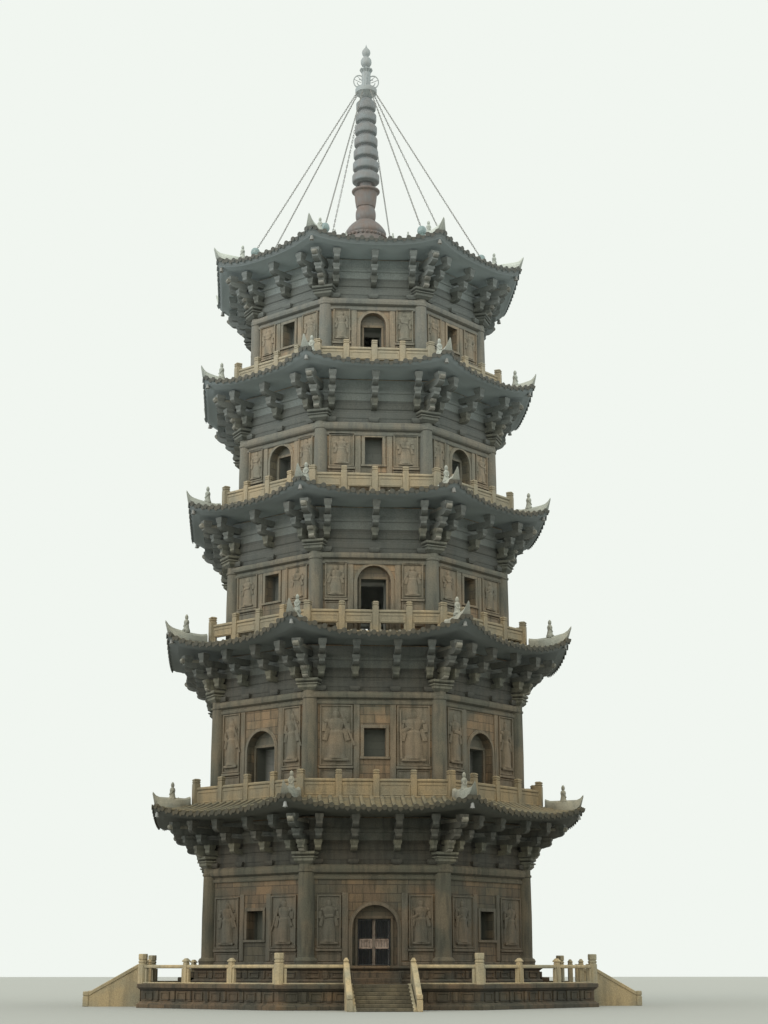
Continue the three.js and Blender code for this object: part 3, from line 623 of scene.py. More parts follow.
def square_post(width, low, high, depth=None):
    """A square post with a collar and a cap that comes to a blunt point."""
    w, d = width / 2, (depth or width) / 2
    cap = block((-w, -d, high - 0.09), (w, d, high - 0.04))
    crown = max(cap.faces, key=lambda f: f.calc_center_median().z)
    bmesh.ops.inset_individual(cap, faces=[crown], thickness=0.6 * d, depth=0.04)
    return gathered(
        block((-w, -d, low), (w, d, high - 0.22), 0.015),
        block((-w * 0.8, -d * 0.8, high - 0.22), (w * 0.8, d * 0.8, high - 0.19)),
        block((-w, -d, high - 0.19), (w, d, high - 0.12), 0.015),
        block((-w * 0.8, -d * 0.8, high - 0.12), (w * 0.8, d * 0.8, high - 0.09)),
        cap,
    )


def slim_post(width, low, high, cap):
    """A slim square post of the terrace under a pointed cap of its own width."""
    w, c = width / 2, cap / 2
    point = block((-c, -c, high - 0.15), (c, c, high - 0.10), 0.01)
    crown = max(point.faces, key=lambda f: f.calc_center_median().z)
    bmesh.ops.inset_individual(point, faces=[crown], thickness=0.8 * c, depth=0.10)
    return gathered(
        block((-w, -w, low), (w, w, high - 0.19), 0.015),
        block((-w * 0.85, -w * 0.85, high - 0.19), (w * 0.85, w * 0.85, high - 0.15)),
        point,
    )


def wings(half, wing, low, high):
    """Two short upright slabs that steady a post, one on each side of it."""
    return gathered(*(
        block((min(x, x + hand * wing), -0.07, low), (max(x, x + hand * wing), 0.07, high), 0.012)
        for hand, x in ((-1, -half), (1, half))
    ))


def open_bay(left, right, apothem, low, high, thick):
    """One bay of the terrace balustrade: a rail and a thin kerb with nothing between them."""
    half = thick / 2
    return gathered(
        block((left, -apothem - half, high - 0.14), (right, -apothem + half, high), 0.03),
        block((left, -apothem - half - 0.04, low), (right, -apothem + half + 0.04, low + 0.06), 0.015),
    )


def rail_bay(left, right, apothem, low, high, thick, slot, feet=0.14):
    """One bay of a railing: a rounded rail, a sunk panel under it, and the feet of an open slot."""
    half = thick / 2
    shape = gathered(
        block((left, -apothem - thick * 0.62, high - 0.15), (right, -apothem + thick * 0.62, high), 0.045),
        block((left, -apothem - thick * 0.35, high - 0.19), (right, -apothem + thick * 0.35, high - 0.15)),
        block((left, -apothem - half, low + slot), (right, -apothem + half, high - 0.19), 0.008),
    )
    if slot:
        foot = block((0, -apothem - half, low), (feet, -apothem + half, low + slot), 0.02)
        stamped(shape, foot, [moved(x=left), moved(x=right - feet)])
    width = right - left - 0.16
    raised = framed_panel(width, low + slot + 0.05, high - 0.24, -apothem - thick * 0.5, 0.05, 0.025)
    return stamped(shape, raised, [moved(x=(left + right) / 2)])


def corner_post(low, high):
    """An eight-sided corner post with two bands cut round its head."""
    return lathe([
        (0, low), (0.205, low), (0.205, high - 0.43), (0.17, high - 0.41), (0.17, high - 0.38),
        (0.195, high - 0.36), (0.195, high - 0.30), (0.165, high - 0.28), (0.165, high - 0.25),
        (0.195, high - 0.23), (0.195, high - 0.03), (0.18, high), (0, high),
    ], SIDES, STEP / 2)


a, low = BALUSTRADE["apothem"], TERRACE["top"]
half, slim = a * HALF_SIDE, BALUSTRADE["slim"]
wing, wing_top = BALUSTRADE["wing"], BALUSTRADE["wing_top"]
for number, quarter in enumerate(("front_right", "right_back", "back_left", "left_front")):
    begin = ALL_SIDES[2 * number]
    balustrade = bmesh.new()
    spans = [(0, BALUSTRADE["end"], half), (1, -half, -half / 3), (1, -half / 3, half / 3),
             (1, half / 3, half), (2, -half, -BALUSTRADE["end"])]
    for side, left, right in spans:
        bay = open_bay(left, right, a, low, BALUSTRADE["rail"], BALUSTRADE["thick"])
        stamped(balustrade, bay, [begin @ ALL_SIDES[side]])
    ends = [begin @ ALL_SIDES[side] @ moved(along, -a)
            for side, along in ((0, BALUSTRADE["end"]), (2, -BALUSTRADE["end"]))]
    stamped(balustrade, slim_post(slim, low, BALUSTRADE["post"], 0.22), ends)
    thirds = [begin @ ALL_SIDES[1] @ moved(along, -a) for along in (-half / 3, half / 3)]
    post = slim_post(slim, low, BALUSTRADE["post"], 0.27)
    stamped(balustrade, gathered(post, wings(slim / 2, wing, low, wing_top)), thirds)
    strip = block((-wing / 2, -a - 0.07, low), (wing / 2, -a + 0.07, wing_top), 0.012)
    beside = half - 0.2 - wing / 2
    stamped(balustrade, strip, [begin @ ALL_SIDES[side] @ moved(end * beside)
                                for side, end in ((0, 1), (1, -1), (1, 1), (2, -1))])
    corners = [begin @ turn @ moved(y=-a / CORNER) for turn in ALL_CORNERS[:2]]
    stamped(balustrade, corner_post(low, BALUSTRADE["corner"]), corners)
    finished(balustrade, f"balustrade_{quarter}", PALE_STONE, [f"terrace_railing_{quarter}"])

# %% [markdown]
# ## Carved walls
# The measured walls stay; the carving is laid on them. A side with a doorway has a raised band round
# its arch, a frame round the inner door, two pilasters and two figure panels. A side with a niche has
# a framed niche instead. Under the panels runs a ledge, and under that a row of sunk dado panels. The
# back doorway at ground level is closed with two stone leaves.

# %% Arch bands and frames
def arch_band(width, low, top, front, proud=0.07, band=0.15, steps=32):
    """A raised band round an arched opening, draped along its outline."""
    radius = width / 2
    leg = top - radius - low
    path = 2 * leg + math.pi * radius
    lower = proud * 0.55
    section = [(0, -0.02), (0, proud), (band * 0.45, proud), (band * 0.55, lower), (band, lower),
               (band, -0.02)]

    def place(across, along):
        out, lift = section[round(across * 5)]
        gone = along * path
        if gone <= leg:
            return Vector((-radius - out, -front - lift, low + gone))
        if gone >= path - leg:
            return Vector((radius + out, -front - lift, low + path - gone))
        turn = (gone - leg) / radius
        return Vector((
            -(radius + out) * math.cos(turn), -front - lift, low + leg + (radius + out) * math.sin(turn)
        ))

    return draped(5, steps, place)


def opening_frame(width, low, high, front, strip=0.11, proud=0.05, sill=True):
    """Jambs, a head and a sill round a square opening."""
    half = width / 2
    bars = [
        block((-half - strip, -front - proud, low), (-half, -front + 0.05, high), 0.01),
        block((half, -front - proud, low), (half + strip, -front + 0.05, high), 0.01),
        block((-half - strip, -front - proud, high), (half + strip, -front + 0.05, high + strip), 0.01),
    ]
    if sill:
        bars.append(block((-half - strip - 0.04, -front - proud - 0.03, low - 0.1),
                          (half + strip + 0.04, -front + 0.05, low), 0.01))
    return gathered(*bars)


print("arch band faces:", len(arch_band(1.9, 0, 2.5, 7).faces))

# %% [markdown]
# ### Guardian figures in low relief
# Eighty panels hold a robed guardian each, half a metre to two metres tall. They are carved flat, so a
# figure is turned on the lathe and then pressed to a third of its depth. Three poses, mirrored by
# chance, are enough at this distance, and each has only a few hundred faces because there are eighty.

# %% Robed figures
def ball(size, place):
    """A rounded lump of clay, stretched to a size and set at a place."""
    shape = bmesh.new()
    shift = Matrix.Translation(place) @ Matrix.Diagonal((*size, 1))
    bmesh.ops.create_icosphere(shape, subdivisions=1, radius=1, matrix=shift)
    return shape


def limb(start, end, thick):
    """A sleeve or a staff between two points."""
    start, end = Vector(start), Vector(end)
    along = end - start
    turn = along.to_track_quat("Z", "Y").to_matrix().to_4x4()
    shape = bmesh.new()
    bmesh.ops.create_cone(shape, cap_ends=True, segments=6, radius1=thick, radius2=thick * 0.7,
                          depth=along.length, matrix=Matrix.Translation((start + end) / 2) @ turn)
    return shape


# What each pose adds to the plain figure: sleeves and staffs, as (start, end, thickness)
POSES = (
    [((-0.1, -0.12, 0.60), (0.1, -0.12, 0.62), 0.05)],
    [((0.2, -0.1, 0.05), (0.22, -0.08, 1.0), 0.018), ((0.2, -0.03, 0.56), (0.06, -0.12, 0.66), 0.045)],
    [((-0.21, -0.03, 0.56), (-0.12, -0.1, 0.80), 0.045), ((-0.3, -0.06, 0.30), (-0.08, -0.1, 0.92), 0.02)],
)


def guardian(pose):
    """A standing robed figure one metre tall, facing -Y, on its own small stand."""
    robe = lathe([(0, 0.05), (0.17, 0.05), (0.15, 0.12), (0.155, 0.30), (0.12, 0.50), (0.135, 0.56),
                  (0.10, 0.60), (0.155, 0.74), (0.14, 0.80), (0.05, 0.83), (0, 0.84)], 10)
    face = [(0, 0.82), (0.045, 0.83), (0.062, 0.88), (0.058, 0.93), (0.035, 0.965), (0.04, 0.99), (0, 1.0)]
    head = lathe(face, 8)
    parts = [robe, head, block((-0.2, -0.12, 0), (0.2, 0.1, 0.05), 0.012)]
    for hand in (-1, 1):
        parts.append(ball((0.055, 0.07, 0.05), (hand * 0.15, 0, 0.76)))
        parts.append(limb((hand * 0.19, -0.02, 0.40), (hand * 0.13, -0.05, 0.62), 0.05))
        parts.append(limb((hand * 0.19, 0, 0.72), (hand * 0.2, -0.03, 0.56), 0.05))
    parts += [limb(*added) for added in pose]
    figure = gathered(*parts)
    bmesh.ops.scale(figure, vec=(1.25, 0.62, 1), verts=figure.verts)
    return figure


guardians = []
for number, pose in enumerate(POSES):
    figure = guardian(pose)
    mesh = bpy.data.meshes.new(f"guardian_{number}")
    figure.to_mesh(mesh)
    figure.free()
    guardians.append(mesh)
print("guardian faces:", [len(m.polygons) for m in guardians])

# %% [markdown]
# ### One side at a time
# Each storey needs two kinds of side, so a function builds one side and the storey stamps it on four
# of its eight walls. The figures differ, and so they are added wall by wall.

# %% Carving on the walls
PILASTER_GAP = 0.17  # from the edge of an opening's band to the pilaster
PILASTER_WIDTH = 0.26
PANEL_BORDER = 0.07
DOOR_SETBACK = 0.4  # from the wall's face to the frame of the inner door


def half_opening(storey, has_door):
    """Half the width of what a side has in its middle: the arch of a doorway, or a niche."""
    return storey["arch"][0] / 2 if has_door else storey["niche"][0] / 2 + 0.02


def side_layout(storey, has_door):
    """Middle of the pilaster, then middle and width of the figure panel, to the right of an opening."""
    near = half_opening(storey, has_door) + PILASTER_GAP
    far = storey["apothem"] * HALF_SIDE - storey["column"] * 1.25
    panel_width = far - near - PILASTER_WIDTH - 0.07
    return near + PILASTER_WIDTH / 2, (near + PILASTER_WIDTH + far + 0.03) / 2, panel_width


def carved_side(storey, has_door):
    """Everything carved on one wall but its figures."""
    a = storey["apothem"]
    low, high = storey["panel"]
    floor, lintel = storey["floor"], storey["lintel"][0]
    x, panel_x, panel_width = side_layout(storey, has_door)
    beside = [moved(x=-panel_x), moved(x=panel_x)]
    if has_door:
        shape = gathered(
            arch_band(storey["arch"][0], floor, storey["arch"][1], a),
            opening_frame(storey["door"][0], floor, storey["door"][1], a - DOOR_SETBACK, sill=False),
        )
    else:
        shape = opening_frame(*storey["niche"], a, 0.14, 0.07)
    stamped(shape, framed_panel(panel_width, low, high, -a, PANEL_BORDER, 0.09), beside)
    half, pilaster_top = PILASTER_WIDTH / 2, min(high + 0.1, lintel - 0.12)
    pilaster = block((-half, -a - 0.055, floor + 0.2), (half, -a + 0.05, pilaster_top), 0.015)
    stamped(shape, pilaster, [moved(x=-x), moved(x=x)])
    dado_top = low - 0.14
    dado_low = max(floor + 0.18, dado_top - 1.1)
    stamped(shape, framed_panel(panel_width, dado_low, dado_top - 0.05, -a, 0.05, 0.05), beside)
    reach = panel_width / 2 + 0.05
    ledge = block((-reach, -a - 0.11, dado_top), (reach, -a + 0.05, low - 0.03), 0.015)
    stamped(shape, ledge, beside)
    start = half_opening(storey, True) + 0.16 if has_door else 0
    foot = block((start, -a - 0.09, floor), (a * HALF_SIDE, -a + 0.05, floor + 0.15), 0.02)
    mirrored = Matrix.Diagonal((-1, 1, 1, 1))
    stamped(shape, foot, [Matrix(), mirrored])
    bmesh.ops.recalc_face_normals(shape, faces=shape.faces)
    return shape


def closed_door(width, low, high, front):
    """Two stone leaves that close a doorway, each with two sunk panels."""
    shape = bmesh.new()
    leaf = width / 2 - 0.01
    middle = low + 0.45 * (high - low)
    for bottom, top in ((low + 0.02, middle), (middle, high)):
        panel = framed_panel(leaf, bottom, top, -front, 0.09, 0.05)
        stamped(shape, panel, [moved(x=-width / 4), moved(x=width / 4)])
    return shape


chance = random.Random(8)
for number, storey in enumerate(STOREYS, 1):
    carving = bmesh.new()
    for has_door in (True, False):
        first = storey["turn"] if has_door else 1 - storey["turn"]
        stamped(carving, carved_side(storey, has_door), ALL_SIDES[first::2])
        _, panel_x, panel_width = side_layout(storey, has_door)
        low, high = storey["panel"]
        tall = min((high - low) * 0.86, panel_width * 2.1)
        for side in ALL_SIDES[first::2]:
            for hand in (-1, 1):
                copy = chance.choice(guardians).copy()
                stand = low + 0.5 * (high - low - tall)
                spread = tall * min(1.0, panel_width * 1.5 / tall)
                size = Matrix.Diagonal((spread * chance.choice((-1, 1)), tall * 0.75, tall, 1))
                copy.transform(side @ moved(hand * panel_x, -storey["apothem"] - 0.03, stand) @ size)
                if size[0][0] < 0:
                    copy.flip_normals()
                carving.from_mesh(copy)
                bpy.data.meshes.remove(copy)
    if number == 1:
        width, top = storey["door"]
        blind = closed_door(width, storey["floor"], top, storey["apothem"] - DOOR_SETBACK)
        stamped(carving, blind, [ALL_SIDES[4]])
    finished(carving, f"wall_carving_{number}", RELIEF_STONE)

# %% [markdown]
# ## Columns and lintels
# A round column stands at each corner, half sunk in the wall, on a turned base. Above it a square slab
# flares out to carry the corner brackets. Between the columns runs a lintel with a rounded face and a
# plain course beneath it.

# %% Columns and lintels
def column_on_front(storey):
    """One corner column with its base, standing on the front of the tower."""
    r, low, high = storey["column"], storey["floor"], storey["lintel"][1]
    return lathe([
        (0, low), (r * 1.28, low), (r * 1.28, low + 0.12), (r * 1.36, low + 0.20),
        (r * 1.22, low + 0.30), (r * 1.02, low + 0.34), (r, low + 0.42),
        (r * 1.01, low + 0.5 * (high - low)), (r * 0.94, high - 0.35), (r * 1.06, high - 0.32),
        (r * 1.06, high - 0.25), (r * 0.94, high - 0.22), (r * 0.94, high), (0, high),
    ], 24)


def column_head():
    """The head of a column, at height 0: two bearing blocks with a slab between them."""
    return gathered(
        bearing(0.86, 0.86, 0, 0.24),
        block((-0.50, -0.50, 0.24), (0.50, 0.50, 0.31), 0.02),
        bearing(1.02, 1.02, 0.31, 0.50),
    )


def bearing(width, depth, low, high):
    """A bearing block: square above, drawn in below like a cushion."""
    shape = block((-width / 2, -depth / 2, low), (width / 2, depth / 2, high))
    parts = shape.verts[:] + shape.edges[:] + shape.faces[:]
    waist = low + 0.5 * (high - low)
    bmesh.ops.bisect_plane(shape, geom=parts, dist=1e-5, plane_co=(0, 0, waist), plane_no=(0, 0, 1))
    foot = [v for v in shape.verts if v.co.z < waist - 1e-4]
    bmesh.ops.scale(shape, vec=(0.72, 0.72, 1), verts=foot)
    return shape


for number, storey in enumerate(STOREYS, 1):
    a, (low, high) = storey["apothem"], storey["lintel"]
    tall = high - low
    beam = moulding([
        (a - 0.02, low - 0.22), (a + 0.07, low - 0.22), (a + 0.09, low - 0.19), (a + 0.09, low - 0.10),
        (a + 0.03, low - 0.07), (a + 0.03, low), (a + 0.12, low + 0.02), (a + 0.19, low + 0.2 * tall),
        (a + 0.21, low + 0.5 * tall), (a + 0.19, low + 0.8 * tall), (a + 0.12, high - 0.02), (a + 0.05, high),
        (a - 0.02, high), (a - 0.02, low - 0.22),
    ])
    back = -a / CORNER + 0.3 * storey["column"]
    stamped(beam, column_on_front(storey), [side @ moved(y=back) for side in ALL_CORNERS])
    finished(beam, f"columns_and_lintel_{number}", LINTEL_STONE, [f"columns_{number}"])
    # The column heads take the paler stone of the lowest lifts: painted light.
    heads = stamped(bmesh.new(), column_head(), [side @ moved(0, back, high) for side in ALL_CORNERS])
    finished(heads, f"column_heads_{number}", BRACKET_FOOT_STONE)

# %% [markdown]
# ## Bracket sets
# Stone brackets copy timber ones: a bearing block carries an arm, the arm carries another block further
# out, and so the load steps out from the wall to the beam under the eave. From the ground each set
# looks like a pile of block ends, because every arm points at the visitor. So one set is three arms,
# each longer than the one under it, with a block on each. At a corner three sets stand side by side.

# %% One bracket set
def arm(width, end, low, high):
    """An arm that reaches out from the wall, with its lower end rounded off."""
    tall = high - low
    outline = [(0, low), (end - 0.9 * tall, low), (end - 0.35 * tall, low + 0.18 * tall),
               (end, low + 0.55 * tall), (end, high), (0, high)]
    return slab(outline, width)


# Each lift: how far out its block sits, as a share of the reach, and the heights of arm and block
LIFTS = ((0.30, 0.27, 0.38, 0.50), (0.64, 0.50, 0.61, 0.71), (1.0, 0.72, 0.85, 1.0))


def bracket_set(tall, reach, width, lifts):
    """The given lifts of a set that steps out from the lintel, at height 0, to the eave beam."""
    shape = bmesh.new()
    for share, low, middle, high in lifts:
        out = share * reach
        stamped(shape, arm(0.74 * width, out + 0.16, low * tall, middle * tall), [Matrix()])
        stamped(shape, bearing(width, 0.38, middle * tall, high * tall), [moved(y=-out)])
    return shape


trial = bracket_set(2.0, 1.5, 0.4, LIFTS)
print("bracket set faces:", len(trial.faces))
trial.free()

# %% [markdown]
# The space between the sets is in deep shade, because the wall there stands far back. Courses of stone
# step out behind them. The lowest lift of every set catches the sun, so it's a piece with a stone of its
# own, painted paler as painted light. So are the two bands of wall behind: the low one darkened as
# painted shade, the high one lightened as painted light.

# %% Bracket rings
BRACKET_REACH = 0.62  # of the way from the wall to the eave
CORNER_SET_GAP = 0.48  # from the corner to the sets that flank it
SET_WIDTH = dict(side=0.35, corner=0.40)


def octagon_beam(inner, outer, low, high, soft):
    """A level beam round the tower with rounded outer edges."""
    return moulding([(inner, low), (outer - 0.7 * soft, low), (outer, low + soft), (outer, high - soft),
                     (outer - 0.7 * soft, high), (inner, high), (inner, low)])


for number, (storey, roof) in enumerate(zip(STOREYS, ROOFS), 1):
    a, low, high = storey["apothem"], storey["lintel"][1], storey["top"]
    tall, reach = high - low, BRACKET_REACH * (roof["eave"] - a)
    half, middle = a * HALF_SIDE, a + reach
    split = low + 0.5 * tall
    back = octagon_beam(a - 0.02, a + 0.05, split, high - 0.05, 0.01)
    stamped(back, octagon_beam(a, a + 0.10, low + 0.66 * tall, low + 0.76 * tall, 0.03), [Matrix()])
    finished(back, f"shaded_wall_{number}", SHADED_STONE)

    foot = octagon_beam(a - 0.02, a + 0.05, low, split, 0.01)
    for i in range(2):
        course = low + tall * (0.08 + 0.21 * i)
        stamped(foot, octagon_beam(a, a + 0.08 + 0.02 * i, course, course + 0.14 * tall, 0.03), [Matrix()])

    spots = [-half + CORNER_SET_GAP, half - CORNER_SET_GAP]
    spots += [-half / 3.2, half / 3.2] if storey["sets"] == 2 else [0]
    side_places = [side @ moved(x, -a, low) for side in ALL_SIDES for x in spots]
    outward = Matrix.Diagonal((1, 1 / CORNER, 1, 1))
    corner_places = [side @ moved(0, -a / CORNER, low) @ outward for side in ALL_CORNERS]
    feet, ring = bmesh.new(), bmesh.new()
    for places, width in ((side_places, SET_WIDTH["side"]), (corner_places, SET_WIDTH["corner"])):
        stamped(feet, bracket_set(tall, reach, width, LIFTS[:1]), places)
        stamped(ring, bracket_set(tall, reach, width, LIFTS[1:]), places)
    stamped(foot, bearing(0.46, 0.44, 0, 0.10 * tall), side_places)
    finished(foot, f"bracket_wall_{number}", BRACKET_WALL_STONE)
    finished(ring, f"bracket_ring_{number}", BRACKET_STONE, [f"brackets_{number}"])
    finished(feet, f"bracket_feet_{number}", BRACKET_FOOT_STONE)

# %% [markdown]
# Carved tongues stick out between the blocks at each corner, two low ones and one under the eave. They
# are paler than the brackets, so they are a piece of their own.

# %% Corner tongues
TONGUES = ((0.62, 0.24, 0.33), (0.74, 0.41, 0.50))  # how far out in metres, and the heights as shares


def tongue(out, low, high, width=0.26):
    """A beam end that thins towards its tip and curls up a little."""
    tall = high - low
    outline = [(0, low), (out - 0.4, low), (out - 0.08, low + 0.1 * tall), (out, low + 0.6 * tall),
               (out - 0.04, high + 0.02), (out - 0.3, high - 0.02), (0, high)]
    return chamfered(slab(outline, width), 0.02)


tongues = bmesh.new()
for storey, roof in zip(STOREYS, ROOFS):
    a, low, high = storey["apothem"], storey["lintel"][1], storey["top"]
    tall, reach = high - low, BRACKET_REACH * (roof["eave"] - a)
    places = [side @ moved(0, -a / CORNER, low) for side in ALL_CORNERS]
    upper = (reach / CORNER + 0.34, 0.82, 0.93)
    for out, bottom, top in (*TONGUES, upper):
        stamped(tongues, tongue(out, bottom * tall, top * tall), places)
finished(tongues, "corner_tongues", TONGUE_STONE)

# %% [markdown]
# ## Tiled roofs
# Each roof is a stone slab carved as tiles. It is level along the middle of a side and sweeps up and
# outwards to the corners. We describe that sweep once, as a function from a flat plan to the real
# surface, and then drape everything over it: the slab, the rows of barrel tiles, and the hip ridges.

# %% The swept surface of a roof
CORNER_FLARE = 0.06  # how far a corner of the eave is drawn outwards
SWEEP_POWER = 2.6  # the higher, the longer an eave stays level
HORN_HEIGHT = 0.62  # from the swept corner of the eave to the tip of the horn
CROWN_TOP = 36.65  # where the top roof meets the finial
CROWN_RADIUS = 1.25  # where its tiles end, round the finial's foot


def roof_plan(number):
    """The slope, inner edge, underside and level part of a roof, from its storey and railing."""
    storey, roof = STOREYS[number - 1], dict(ROOFS[number - 1])
    eave, edge = roof["eave"], roof["edge"]
    roof["under"] = storey["top"]
    if number < 5:
        balcony = RAILINGS[number - 1]["apothem"] + 0.24
        above = STOREYS[number]["floor"]
        roof["level"], roof["inner"] = balcony, storey["apothem"] - 1.0
        roof["slope"] = [(eave, edge), ((eave + balcony) / 2, edge + 0.42 * (above - edge)), (balcony, above)]
    else:
        rise = CROWN_TOP - edge
        roof["level"], roof["inner"] = storey["apothem"], storey["apothem"] - 1.7
        roof["slope"] = [(eave, edge), (0.77 * eave, edge + 0.25 * rise), (0.45 * eave, edge + 0.55 * rise),
                         (CROWN_RADIUS, CROWN_TOP)]
    roof["rise"] = roof["tip"][1] - HORN_HEIGHT - edge
    return roof


def tile_height(roof, depth):
    """Height of the slope in the middle of a side, at an apothem."""
    slope = roof["slope"]
    for (outer, outer_top), (inner, inner_top) in zip(slope, slope[1:]):
        if depth >= inner:
            break
    share = min(max((outer - depth) / (outer - inner), 0), 1)
    return outer_top + (inner_top - outer_top) * share


def swept(roof, x, depth, z):
    """A point of the flat plan moved up and out as the corner sweeps."""
    share = min(abs(x) / (depth * HALF_SIDE), 1)
    outward = min(max((depth - roof["level"]) / (roof["eave"] - roof["level"]), 0), 1.1) ** 2
    lift = outward * share**SWEEP_POWER
    grown = (depth + CORNER_FLARE * lift) / depth
    return Vector((x * grown, -depth * grown, z + roof["rise"] * lift))


ROOF_PLANS = [roof_plan(number) for number in range(1, 6)]
print("corner rises:", [round(roof["rise"], 2) for roof in ROOF_PLANS])

# %% [markdown]
# ### Slab, tile rows and eave
# A barrel tile covers the joint between two flat ones, so from afar a roof is a set of round ribs about
# 0.43 m apart. Each rib ends at the eave in a round disc, and between two ribs hangs a small pointed
# drip tile that throws the rain clear. Against the sky these make the eave look toothed.

# %% Roof pieces
ROW_PITCH = 0.43
RIB_RADIUS = 0.10
TILE_LENGTH = 0.35
SLAB_STEPS = 8  # from the eave to the inner edge
TILE_END = dict(inner=0.115, outer=0.12, thick=0.06)
DRIP_TILE = [(-0.13, 0.03), (-0.09, -0.09), (0, -0.17), (0.09, -0.09), (0.13, 0.03)]
CEILING_RISE = 1.5  # how far the top roof is hollowed above its eave


def roof_slab(roof):
    """The carved slab of one side, from its underside round the eave to the top."""
    eave, under, inner = roof["eave"], roof["under"], roof["inner"]
    edge = roof["edge"] - 0.03
    section = [(inner, under), (eave - 0.45, under), (eave - 0.42, under + 0.02), (eave - 0.16, under + 0.02),
               (eave - 0.10, under + 0.05), (eave - 0.02, edge - 0.04), (eave, edge)]
    outer_part = [(depth, tile_height(roof, depth) - 0.02) for depth in
                  (eave - (eave - roof["slope"][-1][0]) * i / SLAB_STEPS for i in range(1, SLAB_STEPS + 1))]
    section += outer_part + [(inner, outer_part[-1][1])] if inner < outer_part[-1][0] else outer_part
    if inner >= outer_part[-1][0]:
        section.append((CROWN_RADIUS, under + CEILING_RISE))
    section.append(section[0])

    def place(across, along):
        depth, z = section[round(along * (len(section) - 1))]
        share = 2 * across - 1
        x = math.copysign(1 - (1 - abs(share)) ** 1.5, share) * depth * HALF_SIDE
        return swept(roof, x, depth, z)

    return draped(16, len(section) - 1, place)


def tile_row(roof, x, inner):
    """One rib of barrel tiles that runs straight down the slope at x, from inner to the eave."""
    outer = roof["eave"] + 0.03
    steps = max(2, round((outer - inner) / TILE_LENGTH))

    def place(across, along):
        depth = outer - (outer - inner) * along
        turn = math.pi * (across * 1.16 - 0.08)
        rib = swept(roof, x + RIB_RADIUS * math.cos(turn), depth, tile_height(roof, depth))
        return rib + Vector((0, 0, RIB_RADIUS * math.sin(turn) + 0.01))

    return draped(4, steps, place)


def eave_end(roof, x):
    """The round disc at the end of a rib, and the drip tile beside it."""
    spot = swept(roof, x, roof["eave"] + 0.035, roof["edge"] + 0.02)
    disc = bmesh.new()
    lay = Matrix.Translation(spot) @ Matrix.Rotation(math.pi / 2, 4, "X")
    bmesh.ops.create_cone(disc, cap_ends=True, segments=8, radius1=TILE_END["inner"],
                          radius2=TILE_END["outer"], depth=TILE_END["thick"], matrix=lay)
    side = swept(roof, x + ROW_PITCH / 2, roof["eave"] + 0.01, roof["edge"])
    stamped(disc, slab(DRIP_TILE, 0.035), [Matrix.Translation(side) @ Matrix.Rotation(math.pi / 2, 4, "Z")])
    return disc


for number, roof in enumerate(ROOF_PLANS, 1):
    body = closed_up(stamped(bmesh.new(), roof_slab(roof), ALL_SIDES))
    finished(body, f"roof_slab_{number}", TILE_STONE, [f"roof_{number}"], crease=50)

    tiles = bmesh.new()
    half = roof["eave"] * HALF_SIDE
    rows = round(2 * half / ROW_PITCH)
    innermost = roof["slope"][-1][0] + 0.02
    for i in range(rows):
        x = (i + 0.5 - rows / 2) * 2 * half / rows
        inner = max(innermost, abs(x) / HALF_SIDE)
        if roof["eave"] - inner > 0.12:
            stamped(tiles, tile_row(roof, x, inner), ALL_SIDES)
        stamped(tiles, eave_end(roof, x), ALL_SIDES)
    finished(tiles, f"roof_tiles_{number}", TILE_STONE, crease=60)

# %% [markdown]
# ### Hip ridges and horns
# A ridge of mortar and tiles covers each hip. It runs down from the balcony and rises in a hollow curve
# to a horn over the corner. It is a tube with a squarish section, draped on a path. The horn is broad
# at its foot and thin at its top, like a fin, so the section is pinched there.

# %% Hip ridges
def tube(stations, around=10):
    """A closed tube through (middle, half width, half height, pinch of the top) stations."""
    def place(across, along):
        middle, wide, tall, pinch = stations[round(along * (len(stations) - 1))]
        turn = math.tau * across
        side, lift = math.cos(turn), math.sin(turn)
        square = max(abs(side), abs(lift)) ** 0.6
        narrow = 1 - pinch * (0.5 + 0.5 * lift)
        return middle + Vector((wide * narrow * side / square, 0, tall * lift / square))

    return closed_up(draped(around, len(stations) - 1, place))


def hip_height(roof, distance):
    """Height of the tiles along a hip, at a distance from the axis."""
    depth = min(distance * CORNER, roof["eave"])
    return swept(roof, depth * HALF_SIDE, depth, tile_height(roof, depth)).z


TOP_RIDGE_START = 2.6  # from the axis to where a ridge of the top roof starts
RIDGE = dict(half_width=0.14, seat=0.07, steps=6)  # it sits a seat deep in the tiles
HORN = dict(length=1.7, clear=0.25, swell=0.26, curve=1.8, steps=10)  # the last part of a ridge
SPIKE = dict(start=0.84, tall=0.2)  # the last part of a horn, where it turns up into a point


